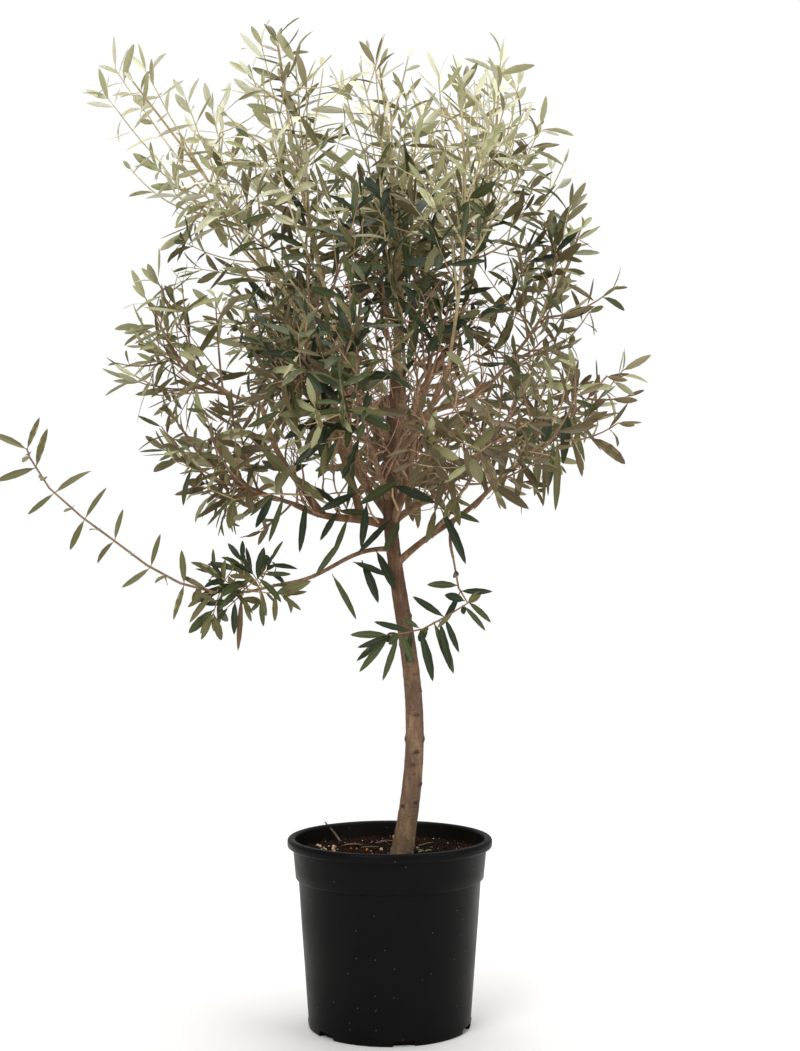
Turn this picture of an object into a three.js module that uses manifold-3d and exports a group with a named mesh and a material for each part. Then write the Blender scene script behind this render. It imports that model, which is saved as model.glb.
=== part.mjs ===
// A young olive tree on a clear stem, standing in a black nursery container.
// Units are millimetres, +Z is up, and the origin is the middle of the container's flat underside.
// The trunk runs from a flat cut at the top of the potting mix up into the crown. Boughs leave it and
// each other, and every bough ends in one mass of twigs and leaves that keeps to a space of its own.
import * as THREE from "three";
import { mergeVertices } from "three/addons/utils/BufferGeometryUtils.js";
import Module from "manifold-3d";

const wasm = await Module();
wasm.setup();

// ---------------------------------------------------------------- driving dimensions

const GAP = 0.3; // between solids that meet face to face
const UP = new THREE.Vector3(0, 0, 1);

const POT = {
  height: 257,
  rimRadius: 140,
  lipHeight: 11,
  lipOverhang: 7,
  collarTopRadius: 132.5,
  collarFootRadius: 128.5,
  collarFoot: 203,
  step: 3, // the height over which one radius changes to the next
  shoulderRadius: 124.5,
  footRadius: 111,
  footBevel: 3,
  wall: 3,
  floor: 4,
  facets: 36,
};
const NOTCH = { count: 6, width: 30, height: 8, depth: 14, turn: THREE.MathUtils.degToRad(10) };
const SOIL = { top: 233, dip: 3, bumps: 15, levelPatch: [36, 70], ringCount: 3 };

// A limb is a straight run from root to tip, bent by bow (one arch) and wave (an S).
const TRUNK = {
  name: "trunk",
  root: [16, -18, SOIL.top + GAP],
  tip: [10, 0, 889],
  bow: [5, 0, 0],
  wave: [16, 0, 0],
  radii: [14, 7.4],
  flare: 2.6,
  flareLength: 24,
  steps: 12,
  sides: 10,
};
// from is the parent and the share of its length at which the bough leaves its centreline.
const BOUGHS = [
  { name: "left_bough", from: ["trunk", 0.685], radii: [6.4, 4.0],
    tip: [-130, -12, 712], bow: [0, 0, -4], wave: [0, 0, 3] },
  { name: "right_leader_bough", from: ["trunk", 0.7], radii: [6.8, 4.4],
    tip: [92, 66, 950], bow: [-22, 8, 0], wave: [0, 6, 0] },
  { name: "inner_right_bough", from: ["trunk", 0.69], radii: [5.6, 3.4],
    tip: [44, -40, 850], bow: [6, -6, 0], wave: [3, 0, 0] },
  { name: "low_right_bough", from: ["trunk", 0.604], radii: [4.6, 3.0],
    tip: [150, -40, 748], bow: [0, 0, -4], wave: [0, 0, 4] },
  { name: "rear_right_bough", from: ["trunk", 0.69], radii: [5.0, 3.4],
    tip: [118, 108, 780], bow: [0, 0, -10], wave: [0, 0, 4] },
  { name: "side_right_bough", from: ["right_leader_bough", 0.52], radii: [4.6, 3.2],
    tip: [140, 16, 880], bow: [0, 0, -4], wave: [0, 0, 3] },
  { name: "low_left_bough", from: ["trunk", 0.637], radii: [3.2, 2.4],
    tip: [-146, -46, 604], bow: [0, 0, 4], wave: [0, 0, 6] },
  { name: "mid_left_bough", from: ["left_bough", 0.72], radii: [5.0, 3.4],
    tip: [-176, 10, 846], bow: [-8, 0, -6], wave: [0, 0, 4] },
  { name: "upper_left_bough", from: ["left_bough", 0.3], radii: [5.4, 3.6],
    tip: [-116, 2, 960], bow: [-6, 0, 4], wave: [4, 0, 0] },
  { name: "rear_left_bough", from: ["trunk", 0.705], radii: [5.6, 3.6],
    tip: [-78, 120, 840], bow: [-6, 10, -14], wave: [0, 0, 4] },
  { name: "rear_bough", from: ["right_leader_bough", 0.34], radii: [5.0, 3.4],
    tip: [20, 112, 915], bow: [0, 12, -6], wave: [0, 0, 3] },
  { name: "low_rear_bough", from: ["trunk", 0.672], radii: [4.4, 3.0],
    tip: [8, 104, 730], bow: [0, 0, -6], wave: [0, 0, 3] },
  { name: "front_left_bough", from: ["trunk", 0.86], radii: [4.6, 3.2],
    tip: [-66, -72, 925], bow: [0, -8, -8], wave: [0, 0, 3] },
  { name: "front_bough", from: ["trunk", 0.74], radii: [4.6, 3.2],
    tip: [-22, -106, 785], bow: [0, 0, -6], wave: [0, 0, 3] },
  { name: "front_right_bough", from: ["trunk", 0.8], radii: [4.6, 3.2],
    tip: [78, -92, 890], bow: [0, -6, -10], wave: [0, 0, 3] },
  { name: "low_front_bough", from: ["low_right_bough", 0.34], radii: [3.4, 2.6],
    tip: [92, -100, 722], bow: [0, 0, -4], wave: [0, 0, 2] },
  { name: "hanging_bough", from: ["low_right_bough", 0.55], radii: [2.4, 1.8],
    tip: [85, -62, 640], bow: [-4, -6, 0], wave: [0, 0, 0] },
];
const BOUGH_STEPS = 5;
const BOUGH_SIDES = 6;

// Each mass fills the ellipsoid round centre with the half sizes given, less what lies nearer to its
// neighbours. Its stem grows on from the tip of its bough and ends at tip.
const MASSES = [
  { name: "crown_centre_foliage", bough: "trunk", shoots: 7, seed: 11,
    centre: [-6, 6, 1120], half: [95, 95, 215], tip: [-14, -6, 1310], bow: [10, 0, 0] },
  { name: "right_leader_foliage", bough: "right_leader_bough", shoots: 7, seed: 12,
    centre: [152, 70, 1140], half: [115, 110, 205], tip: [152, 40, 1312], bow: [14, 0, 0] },
  { name: "inner_right_foliage", bough: "inner_right_bough", shoots: 5, seed: 13,
    centre: [62, -52, 925], half: [75, 75, 95], tip: [72, -66, 985], bow: [0, 0, 0] },
  { name: "low_right_foliage", bough: "low_right_bough", shoots: 7, seed: 14,
    centre: [215, -50, 815], half: [115, 105, 115], tip: [292, -50, 884], bow: [0, 0, -10] },
  { name: "rear_right_foliage", bough: "rear_right_bough", shoots: 7, seed: 15,
    centre: [160, 150, 850], half: [125, 115, 130], tip: [222, 190, 900], bow: [0, 0, -6] },
  { name: "side_right_foliage", bough: "side_right_bough", shoots: 7, seed: 16,
    centre: [218, 16, 1000], half: [105, 125, 130], tip: [262, 0, 1090], bow: [12, 0, -8] },
  { name: "low_left_foliage", bough: "left_bough", shoots: 7, seed: 17,
    centre: [-205, -20, 775], half: [120, 125, 95], tip: [-268, -30, 782], bow: [0, 0, -8] },
  { name: "mid_left_foliage", bough: "mid_left_bough", shoots: 7, seed: 18,
    centre: [-268, 10, 925], half: [115, 130, 110], tip: [-330, 0, 930], bow: [0, 0, -8] },
  { name: "upper_left_foliage", bough: "upper_left_bough", shoots: 7, seed: 19,
    centre: [-222, 16, 1130], half: [145, 110, 145], tip: [-350, -14, 1288], bow: [12, 0, -8] },
  { name: "rear_left_foliage", bough: "rear_left_bough", shoots: 7, seed: 20,
    centre: [-130, 165, 930], half: [125, 115, 135], tip: [-166, 196, 1020], bow: [0, 10, -8] },
  { name: "rear_foliage", bough: "rear_bough", shoots: 7, seed: 21,
    centre: [16, 165, 1105], half: [120, 105, 180], tip: [0, 160, 1290], bow: [0, 12, 0] },
  { name: "low_rear_foliage", bough: "low_rear_bough", shoots: 7, seed: 26,
    centre: [14, 172, 790], half: [110, 105, 105], tip: [20, 236, 830], bow: [0, 0, -6] },
  { name: "front_left_foliage", bough: "front_left_bough", shoots: 7, seed: 22,
    centre: [-118, -102, 1125], half: [105, 105, 190], tip: [-148, -84, 1318], bow: [-8, -14, 0] },
  { name: "front_foliage", bough: "front_bough", shoots: 7, seed: 23,
    centre: [-70, -165, 845], half: [125, 105, 115], tip: [-116, -216, 905], bow: [0, 0, -8] },
  { name: "front_right_foliage", bough: "front_right_bough", shoots: 7, seed: 24,
    centre: [100, -128, 1080], half: [110, 105, 175], tip: [90, -118, 1275], bow: [14, -12, 0] },
  { name: "low_front_foliage", bough: "low_front_bough", shoots: 6, seed: 27,
    centre: [100, -165, 775], half: [110, 100, 90], tip: [128, -212, 800], bow: [0, 0, -6] },
  { name: "low_left_spray", bough: "low_left_bough", shoots: 6, span: [0.02, 0.4], bare: 0.08, seed: 25,
    centre: [-310, -60, 660], half: [240, 75, 165], tip: [-466, -64, 752], bow: [0, 0, -62] },
  { name: "hanging_spray", bough: "hanging_bough", shoots: 2, bare: 0.08, seed: 31,
    centre: [40, -85, 560], half: [100, 60, 85], tip: [-14, -80, 534], bow: [26, 0, -14] },
];

const TWIG = { sides: 3, rootShare: 0.8, tipRadius: 1.2, shootRootRadius: 2, steps: 2, clear: 4 };
const LEAF = {
  length: 92,
  width: 27,
  thick: 1.6,
  root: 1, // how far the leaf's foot is sunk past its twig's centre
  widestAt: 0.46,
  sizes: [0.82, 1.12],
  pairGap: 50,
  apart: 33, // between the middles of two leaves
  overhang: 1.3, // a leaf's tip may pass the ellipsoid by this factor
};
const SPACE_MARGIN = 1.5; // leaves and twigs stay this far from the plane between two spaces
const SHOOT = { span: [0.05, 0.9], lean: [40, 78], rise: 0.14, step: 14, longest: 200 };
const GOLDEN_ANGLE = THREE.MathUtils.degToRad(137.5);

// ---------------------------------------------------------------- solids and meshes

const vector = (xyz) => new THREE.Vector3(...xyz);

// A closed three.js geometry as a solid that can be joined and cut.
function solidOf(geometry) {
  const bare = geometry.clone();
  for (const name of Object.keys(bare.attributes)) {
    if (name !== "position") bare.deleteAttribute(name);
  }
  const merged = mergeVertices(bare, 1e-4);
  return new wasm.Manifold(
    new wasm.Mesh({
      numProp: 3,
      vertProperties: merged.attributes.position.array,
      triVerts: new Uint32Array(merged.index.array),
    }),
  );
}

// The largest body of a solid, as three.js geometry. Loose scraps are dropped.
function geometryOf(solid) {
  const bodies = solid.decompose().sort((a, b) => b.volume() - a.volume());
  const { vertProperties, triVerts } = bodies[0].getMesh();
  const geometry = new THREE.BufferGeometry();
  geometry.setAttribute("position", new THREE.BufferAttribute(vertProperties, 3));
  geometry.setIndex(new THREE.BufferAttribute(triVerts, 1));
  geometry.computeVertexNormals();
  return geometry;
}

function named(name, geometry, material) {
  const mesh = new THREE.Mesh(geometry, material);
  mesh.name = name;
  return mesh;
}

// A small seeded generator of numbers from 0 to 1 (mulberry32).
function seeded(seed) {
  let state = seed >>> 0;
  return () => {
    state = (state + 0x6d2b79f5) >>> 0;
    let mixed = Math.imul(state ^ (state >>> 15), state | 1);
    mixed ^= mixed + Math.imul(mixed ^ (mixed >>> 7), mixed | 61);
    return ((mixed ^ (mixed >>> 14)) >>> 0) / 4294967296;
  };
}

// ---------------------------------------------------------------- limbs

// The centreline of a limb, at a share of its length.
function alongLimb({ root, tip, bow, wave }, share) {
  return vector(root)
    .lerp(vector(tip), share)
    .addScaledVector(vector(bow), Math.sin(Math.PI * share))
    .addScaledVector(vector(wave), Math.sin(2 * Math.PI * share));
}

function radiusAt(limb, share) {
  const length = vector(limb.root).distanceTo(vector(limb.tip));
  const flare = limb.flare ? limb.flare * Math.exp((-share * length) / limb.flareLength) : 0;
  return THREE.MathUtils.lerp(limb.radii[0], limb.radii[1], share) + flare;
}

// A bar of round section through the centres given, with a radius at each of them: a cylinder whose
// rings are moved onto the centres, and turned square to the line through them.
function bar(centres, radii, sides) {
  const steps = centres.length - 1;
  const geometry = new THREE.CylinderGeometry(1, 1, 1, sides, steps);
  const frames = [];
  let side = Math.abs(directionAt(centres, 0).z) > 0.9 ? vector([1, 0, 0]) : vector([0, 0, 1]);
  for (let i = 0; i <= steps; i++) {
    const ahead = directionAt(centres, i);
    side = side.clone().addScaledVector(ahead, -side.dot(ahead)).normalize();
    frames.push([side, side.clone().cross(ahead)]);
  }
  const places = geometry.attributes.position;
  for (let v = 0; v < places.count; v++) {
    const i = Math.round((places.getY(v) + 0.5) * steps);
    const moved = centres[i]
      .clone()
      .addScaledVector(frames[i][0], places.getX(v) * radii[i])
      .addScaledVector(frames[i][1], places.getZ(v) * radii[i]);
    places.setXYZ(v, moved.x, moved.y, moved.z);
  }
  return geometry;
}

function directionAt(centres, i) {
  const before = centres[Math.max(0, i - 1)];
  const after = centres[Math.min(centres.length - 1, i + 1)];
  return after.clone().sub(before).normalize();
}

// A limb as a solid, grown on all sides by grow.
function limbSolid(limb, steps, sides, grow = 0) {
  const shares = Array.from({ length: steps + 1 }, (_, i) => i / steps);
  const centres = shares.map((share) => alongLimb(limb, share));
  const radii = shares.map((share) => radiusAt(limb, share) + grow);
  centres[0].addScaledVector(directionAt(centres, 0), -grow);
  centres[steps].addScaledVector(directionAt(centres, steps), grow);
  return solidOf(bar(centres, radii, sides));
}

// Trunk and boughs in order, each cut clear of all that came before it.
function makeLimbs() {
  const limbs = new Map([["trunk", TRUNK]]);
  const trunk = levelFoot(limbSolid(TRUNK, TRUNK.steps, TRUNK.sides));
  const solids = new Map([["trunk", trunk]]);
  let taken = limbSolid(TRUNK, TRUNK.steps, TRUNK.sides, GAP);
  for (const bough of BOUGHS) {
    const [parent, share] = bough.from;
    const limb = { ...bough, root: alongLimb(limbs.get(parent), share).toArray() };
    limbs.set(bough.name, limb);
    solids.set(bough.name, limbSolid(limb, BOUGH_STEPS, BOUGH_SIDES).subtract(taken));
    taken = taken.add(limbSolid(limb, BOUGH_STEPS, BOUGH_SIDES, GAP));
  }
  return { limbs, solids, taken };
}

// The trunk's lowest ring is square to its lean, so it is cut level at the top of the potting mix.
function levelFoot(trunk) {
  const below = new THREE.BoxGeometry(200, 200, 100);
  below.translate(0, 0, SOIL.top + GAP + 1 - 50);
  return trunk.subtract(solidOf(below));
}

// ---------------------------------------------------------------- spaces

// How far a mass reaches from its centre in a direction.
function reachOf(mass, direction) {
  const [a, b, c] = mass.half;
  return 1 / Math.hypot(direction.x / a, direction.y / b, direction.z / c);
}

// Whether a point is on this mass's side of the plane that parts it from each neighbour.
function inCell(mass, point, margin = SPACE_MARGIN) {
  const centre = vector(mass.centre);
  return MASSES.every((other) => {
    if (other === mass) return true;
    const towards = vector(other.centre).sub(centre);
    const distance = towards.length();
    towards.divideScalar(distance);
    const mine = reachOf(mass, towards);
    const limit = (distance * mine) / (mine + reachOf(other, towards));
    return point.clone().sub(centre).dot(towards) < limit - margin;
  });
}

function inSpace(mass, point, swell = 1) {
  const from = point.clone().sub(vector(mass.centre));
  const [a, b, c] = mass.half;
  return Math.hypot(from.x / a, from.y / b, from.z / c) < swell && inCell(mass, point);
}

// The distance from a point to the nearest limb or stem, but for those left out by name.
function clearance(limbs, point, without) {
  let least = Infinity;
  for (const limb of limbs.values()) {
    if (without.includes(limb.name)) continue;
    for (let i = 0; i < CLEARANCE_STEPS; i++) {
      const share = i / (CLEARANCE_STEPS - 1);
      const distance = alongLimb(limb, share).distanceTo(point) - radiusAt(limb, share);
      least = Math.min(least, distance);
    }
  }
  return least;
}
const CLEARANCE_STEPS = 60;
const STEM_POINTS = 12;

// ---------------------------------------------------------------- twigs and leaves

// A leaf of eight faces: an octahedron whose corners become a deep root, two edges, a ridge and a tip.
function leafCorners({ place, along, normal, size }) {
  const across = normal.clone().cross(along).normalize();
  const up = along.clone().cross(across).normalize();
  const length = LEAF.length * size;
  const corner = (x, y, z) =>
    place.clone().addScaledVector(along, x).addScaledVector(across, y).addScaledVector(up, z);
  const wide = length * LEAF.widestAt;
  return {
    tip: corner(length, 0, 0),
    upperRoot: corner(-LEAF.root, 0, LEAF.root),
    left: corner(wide, (LEAF.width * size) / 2, 0),
    right: corner(wide, (-LEAF.width * size) / 2, 0),
    ridge: corner(wide, 0, LEAF.thick),
    lowerRoot: corner(-LEAF.root, 0, -LEAF.root),
  };
}

function leafGeometry(corners) {
  const geometry = new THREE.OctahedronGeometry(1, 0);
  const places = geometry.attributes.position;
  for (let v = 0; v < places.count; v++) {
    const [x, y, z] = [places.getX(v), places.getY(v), places.getZ(v)];
    let to = z > 0 ? corners.ridge : corners.lowerRoot;
    if (Math.abs(x) > 0.5) to = x > 0 ? corners.tip : corners.upperRoot;
    if (Math.abs(y) > 0.5) to = y > 0 ? corners.left : corners.right;
    places.setXYZ(v, to.x, to.y, to.z);
  }
  return geometry;
}

// A leaf is kept if it stays in the space, clear of the limbs and of the leaves already there.
function leafFits(mass, limbs, corners, taken, overhang) {
  const points = Object.values(corners);
  const middle = corners.left.clone().add(corners.right).multiplyScalar(0.5);
  if (!points.every((p) => inCell(mass, p))) return false;
  if (!inSpace(mass, corners.tip, overhang)) return false;
  if (taken.some((other) => other.distanceTo(middle) < LEAF.apart)) return false;
  const outer = corners.tip.clone().lerp(middle, 0.5);
  const tested = [corners.tip, corners.left, corners.right, corners.ridge, outer, middle];
  if (!tested.every((p) => clearance(limbs, p, [mass.name]) > TWIG.clear)) return false;
  taken.push(middle);
  return true;
}

// A pair of leaves opposite each other, square to the pair below it.
function leafPair(place, ahead, turn, openness, size) {
  const side = perpendicular(ahead, turn);
  return [side, side.clone().negate()].map((out) => {
    const along = ahead
      .clone()
      .multiplyScalar(Math.cos(openness))
      .addScaledVector(out, Math.sin(openness));
    const normal = ahead.clone().multiplyScalar(Math.sin(openness));
    normal.addScaledVector(out, -Math.cos(openness));
    return { place, along: along.normalize(), normal: normal.normalize(), size };
  });
}

function perpendicular(ahead, turn) {
  const reference = Math.abs(ahead.z) > 0.9 ? vector([1, 0, 0]) : UP;
  const side = ahead.clone().cross(reference).normalize();
  return side.applyAxisAngle(ahead, turn);
}

// A shoot's path: it leaves at a lean, rises towards the light and stops at the edge of its space.
function shootPath(mass, limbs, root, ahead, longest) {
  const path = [root.clone()];
  const direction = ahead.clone();
  const place = root.clone();
  for (let run = 0; run < longest; run += SHOOT.step) {
    direction.addScaledVector(UP, SHOOT.rise * (SHOOT.step / 20)).normalize();
    place.addScaledVector(direction, SHOOT.step);
    if (!inSpace(mass, place)) break;
    if (clearance(limbs, place, [mass.name]) < TWIG.clear) break;
    path.push(place.clone());
  }
  return path;
}

// A few of a path's points, evenly spread, with both ends.
function thinned(path, steps) {
  const last = path.length - 1;
  const count = Math.min(steps, last);
  return Array.from({ length: count + 1 }, (_, i) => path[Math.round((i / count) * last)]);
}

// The leaves of one path: pairs from its tip back to the share that is bare wood.
function leavesAlong(path, bareShare, rng) {
  const leaves = [];
  const curve = new THREE.CatmullRomCurve3(path, false, "catmullrom", 0.5);
  const length = curve.getLength();
  const turn = rng() * Math.PI;
  for (let back = 3, n = 0; length - back > bareShare * length; back += LEAF.pairGap, n++) {
    const share = 1 - back / length;
    const openness = THREE.MathUtils.degToRad(30 + 14 * Math.min(n, 2) + 12 * rng());
    const size = THREE.MathUtils.lerp(...LEAF.sizes, rng());
    const ahead = curve.getTangentAt(share);
    leaves.push(...leafPair(curve.getPointAt(share), ahead, turn + (n * Math.PI) / 2, openness, size));
  }
  return leaves;
}

// Joins a stem, its side shoots and their leaves into one solid.
function foliage(mass, stemRadius, limbs, paths, bareShares) {
  const pieces = [];
  const taken = [];
  paths.forEach((path, i) => {
    const rng = seeded(mass.seed * 1000 + i + 500);
    const steps = i === 0 ? 2 * TWIG.steps : TWIG.steps;
    const centres = thinned(path, steps);
    const rootRadius = i === 0 ? stemRadius : TWIG.shootRootRadius;
    const radii = centres.map((_, j) =>
      THREE.MathUtils.lerp(rootRadius, TWIG.tipRadius, j / (centres.length - 1)),
    );
    pieces.push(solidOf(bar(centres, radii, TWIG.sides)));
    for (const leaf of leavesAlong(centres, bareShares[i], rng)) {
      const corners = leafCorners(leaf);
      const overhang = i === 0 ? Infinity : LEAF.overhang;
      if (leafFits(mass, limbs, corners, taken, overhang)) pieces.push(solidOf(leafGeometry(corners)));
    }
  });
  return wasm.Manifold.union(pieces);
}

// The stem of a mass grows on from the tip of its bough.
function stemOf(mass, limbs) {
  const bough = limbs.get(mass.bough);
  const root = alongLimb(bough, 1).toArray();
  const radii = [radiusAt(bough, 1) * TWIG.rootShare, TWIG.tipRadius];
  return { name: mass.name, root, tip: mass.tip, bow: mass.bow, wave: [0, 0, 0], radii };
}

function makeMass(mass, limbs) {
  const stem = limbs.get(mass.name);
  const path = Array.from({ length: STEM_POINTS + 1 }, (_, i) => alongLimb(stem, i / STEM_POINTS));
  const stemRadius = stem.radii[0];
  const curve = new THREE.CatmullRomCurve3(path, false, "catmullrom", 0.5);
  const paths = [path];
  const bare = [mass.bare ?? 0.35];
  for (let k = 0; k < mass.shoots; k++) {
    const rng = seeded(mass.seed * 1000 + k);
    const spread = (k + 0.4 * rng()) / mass.shoots;
    const share = THREE.MathUtils.lerp(...(mass.span ?? SHOOT.span), spread);
    const stemAhead = curve.getTangentAt(share);
    const out = perpendicular(stemAhead, k * GOLDEN_ANGLE + 0.5 * rng());
    const lean = THREE.MathUtils.degToRad(THREE.MathUtils.lerp(...SHOOT.lean, rng()));
    const ahead = stemAhead.multiplyScalar(Math.cos(lean)).addScaledVector(out, Math.sin(lean));
    const found = shootPath(mass, limbs, curve.getPointAt(share), ahead, SHOOT.longest);
    if (found.length < 4) continue;
    paths.push(found);
    bare.push(0.3);
  }
  return foliage(mass, stemRadius, limbs, paths, bare);
}

// ---------------------------------------------------------------- container and potting mix

// The outline of the container's wall: up the outside from the underside's middle, over the rolled
// rim and down the inside to the floor.
function potProfile() {
  const { height, rimRadius, lipHeight, lipOverhang, wall, floor, footBevel, step } = POT;
  const inner = rimRadius - lipOverhang - wall;
  const lipFoot = height - lipHeight;
  return [
    [0, 0],
    [POT.footRadius - footBevel, 0],
    [POT.footRadius, footBevel],
    [POT.shoulderRadius, POT.collarFoot - step],
    [POT.collarFootRadius, POT.collarFoot],
    [POT.collarTopRadius, lipFoot],
    [rimRadius - step, lipFoot],
    [rimRadius, lipFoot + step],
    [rimRadius, height - step],
    [rimRadius - step, height],
    [inner + step, height],
    [inner, height - step],
    [POT.collarTopRadius - wall, lipFoot - step],
    [POT.collarFootRadius - wall, POT.collarFoot],
    [POT.shoulderRadius - wall, POT.collarFoot - step],
    [POT.footRadius - wall, floor],
    [0, floor],
  ].map(([radius, z]) => new THREE.Vector2(radius, z));
}

// A lathe turned so that its axis is +Z.
function turned(profile, facets) {
  return new THREE.LatheGeometry(profile, facets).rotateX(Math.PI / 2);
}

function makePot() {
  let pot = solidOf(turned(potProfile(), POT.facets));
  for (let i = 0; i < NOTCH.count; i++) {
    const notch = new THREE.BoxGeometry(NOTCH.width, NOTCH.depth, 2 * NOTCH.height);
    notch.translate(0, -POT.footRadius, 0);
    notch.rotateZ(NOTCH.turn + (i * 2 * Math.PI) / NOTCH.count);
    pot = pot.subtract(solidOf(notch));
  }
  return pot;
}

// The potting mix fills the container, uneven on top but for a level patch round the trunk's foot.
function makeSoil() {
  const { wall, floor, collarFoot } = POT;
  const collarSpread = POT.collarTopRadius - POT.collarFootRadius;
  const upCollar = (SOIL.top - collarFoot) / (POT.height - POT.lipHeight - collarFoot);
  const brim = POT.collarFootRadius + collarSpread * upCollar - wall - 2 * GAP;
  const profile = [
    [0, floor + GAP],
    [POT.footRadius - wall - GAP, floor + GAP],
    [POT.shoulderRadius - wall - GAP, collarFoot - POT.step],
    [POT.collarFootRadius - wall - 2 * GAP, collarFoot + GAP],
    [brim, SOIL.top],
  ];
  for (let i = SOIL.ringCount - 1; i >= 0; i--) profile.push([(brim * i) / SOIL.ringCount, SOIL.top]);
  const points = profile.map(([radius, z]) => new THREE.Vector2(radius, z));
  const geometry = turned(points, POT.facets);
  const places = geometry.attributes.position;
  for (let v = 0; v < places.count; v++) {
    const [x, y] = [places.getX(v), places.getY(v)];
    if (places.getZ(v) > SOIL.top - 1) places.setZ(v, SOIL.top - soilDip(x, y));
  }
  return solidOf(geometry);
}

// How far the top of the mix lies below its highest level.
function soilDip(x, y) {
  const fromTrunk = Math.hypot(x - TRUNK.root[0], y - TRUNK.root[1]);
  const away = THREE.MathUtils.smoothstep(fromTrunk, ...SOIL.levelPatch);
  return away * SOIL.dip * (1 + 0.6 * Math.sin(x / SOIL.bumps) * Math.cos(y / SOIL.bumps));
}

// ---------------------------------------------------------------- the plant

const MATERIALS = {
  plastic: new THREE.MeshStandardMaterial({ color: 0x17171a, roughness: 0.55, metalness: 0 }),
  mix: new THREE.MeshStandardMaterial({ color: 0x2a1a12, roughness: 0.95, metalness: 0 }),
  bark: new THREE.MeshStandardMaterial({ color: 0x7d6552, roughness: 0.85, metalness: 0 }),
  leaf: new THREE.MeshStandardMaterial({ color: 0x66694c, roughness: 0.6, metalness: 0 }),
};

const plant = new THREE.Group();
plant.add(named("pot", geometryOf(makePot()), MATERIALS.plastic));
plant.add(named("potting_mix", geometryOf(makeSoil()), MATERIALS.mix));

const { limbs, solids, taken } = makeLimbs();
for (const [name, solid] of solids) plant.add(named(name, geometryOf(solid), MATERIALS.bark));
for (const mass of MASSES) limbs.set(mass.name, stemOf(mass, limbs));
for (const mass of MASSES) {
  const solid = makeMass(mass, limbs).subtract(taken);
  plant.add(named(mass.name, geometryOf(solid), MATERIALS.leaf));
}

export default plant;
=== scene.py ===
"""A young olive tree on a clear stem in a black nursery pot, finished round the solids of its frame.

The pot and its mix are modelled over their solids. Trunk and boughs follow the same limbs as the
solids and get the relief of real bark. Every mass of leaves is grown again by the solids' own rule,
carried on to finer twigs and to leaves of life size.
"""
import math
from dataclasses import dataclass
from functools import lru_cache

import bmesh
import bpy
import numpy as np
from bpy.props import FloatProperty, FloatVectorProperty, IntProperty, PointerProperty
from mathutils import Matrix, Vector


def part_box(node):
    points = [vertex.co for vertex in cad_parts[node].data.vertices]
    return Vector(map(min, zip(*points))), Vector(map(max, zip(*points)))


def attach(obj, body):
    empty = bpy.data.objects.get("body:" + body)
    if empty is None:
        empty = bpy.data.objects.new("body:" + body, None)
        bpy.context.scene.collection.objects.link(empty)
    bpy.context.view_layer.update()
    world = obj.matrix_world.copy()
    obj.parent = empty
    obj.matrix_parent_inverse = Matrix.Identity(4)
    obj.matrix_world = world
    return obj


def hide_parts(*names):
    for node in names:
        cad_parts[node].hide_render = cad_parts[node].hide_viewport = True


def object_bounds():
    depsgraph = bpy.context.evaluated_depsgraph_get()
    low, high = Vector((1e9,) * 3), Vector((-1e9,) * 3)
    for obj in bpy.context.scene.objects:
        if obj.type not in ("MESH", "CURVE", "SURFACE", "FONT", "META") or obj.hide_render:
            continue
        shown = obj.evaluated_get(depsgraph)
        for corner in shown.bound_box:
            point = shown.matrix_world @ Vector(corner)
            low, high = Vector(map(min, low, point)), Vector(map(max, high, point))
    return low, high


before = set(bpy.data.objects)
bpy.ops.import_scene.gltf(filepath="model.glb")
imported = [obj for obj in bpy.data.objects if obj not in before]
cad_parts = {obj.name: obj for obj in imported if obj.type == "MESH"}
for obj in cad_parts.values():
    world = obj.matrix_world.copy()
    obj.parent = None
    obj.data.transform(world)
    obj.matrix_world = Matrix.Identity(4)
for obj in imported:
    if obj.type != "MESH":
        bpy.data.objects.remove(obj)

bl_info = {
    "name": "Potted olive tree",
    "version": (1, 0, 0),
    "blender": (4, 5, 0),
    "location": "3D View > Sidebar > Olive tree",
    "description": "Grows an olive tree in a nursery pot: bark, twigs, leaves, potting mix and pot",
    "category": "Object",
}

CAD_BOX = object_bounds()
BODY = "root"
MM = 0.001
UP = np.array([0.0, 0.0, 1.0])

# ---------------------------------------------------------------- the plant's driving sizes, in mm


@dataclass(frozen=True)
class Limb:
    """A straight run from root to tip, bent by bow (one arch) and wave (an S)."""

    name: str
    root: tuple
    tip: tuple
    bow: tuple = (0, 0, 0)
    wave: tuple = (0, 0, 0)
    radii: tuple = (1.0, 1.0)
    flare: float = 0.0
    flare_length: float = 1.0

    def at(self, share):
        """Points at shares of the length."""
        share = np.asarray(share, float)[..., None]
        straight = np.array(self.root) * (1 - share) + np.array(self.tip) * share
        arch = np.array(self.bow) * np.sin(math.pi * share)
        return straight + arch + np.array(self.wave) * np.sin(2 * math.pi * share)

    def radius(self, share):
        """Radii there: tapered, and flared out at the root."""
        share = np.asarray(share, float)
        length = math.dist(self.root, self.tip)
        taper = self.radii[0] + (self.radii[1] - self.radii[0]) * share
        return taper + self.flare * np.exp(-share * length / self.flare_length)


TRUNK = Limb(
    "trunk", root=(16, -18, 233.3), tip=(10, 0, 889), bow=(5, 0, 0), wave=(16, 0, 0),
    radii=(14.0, 7.4), flare=2.6, flare_length=24,
)
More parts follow.
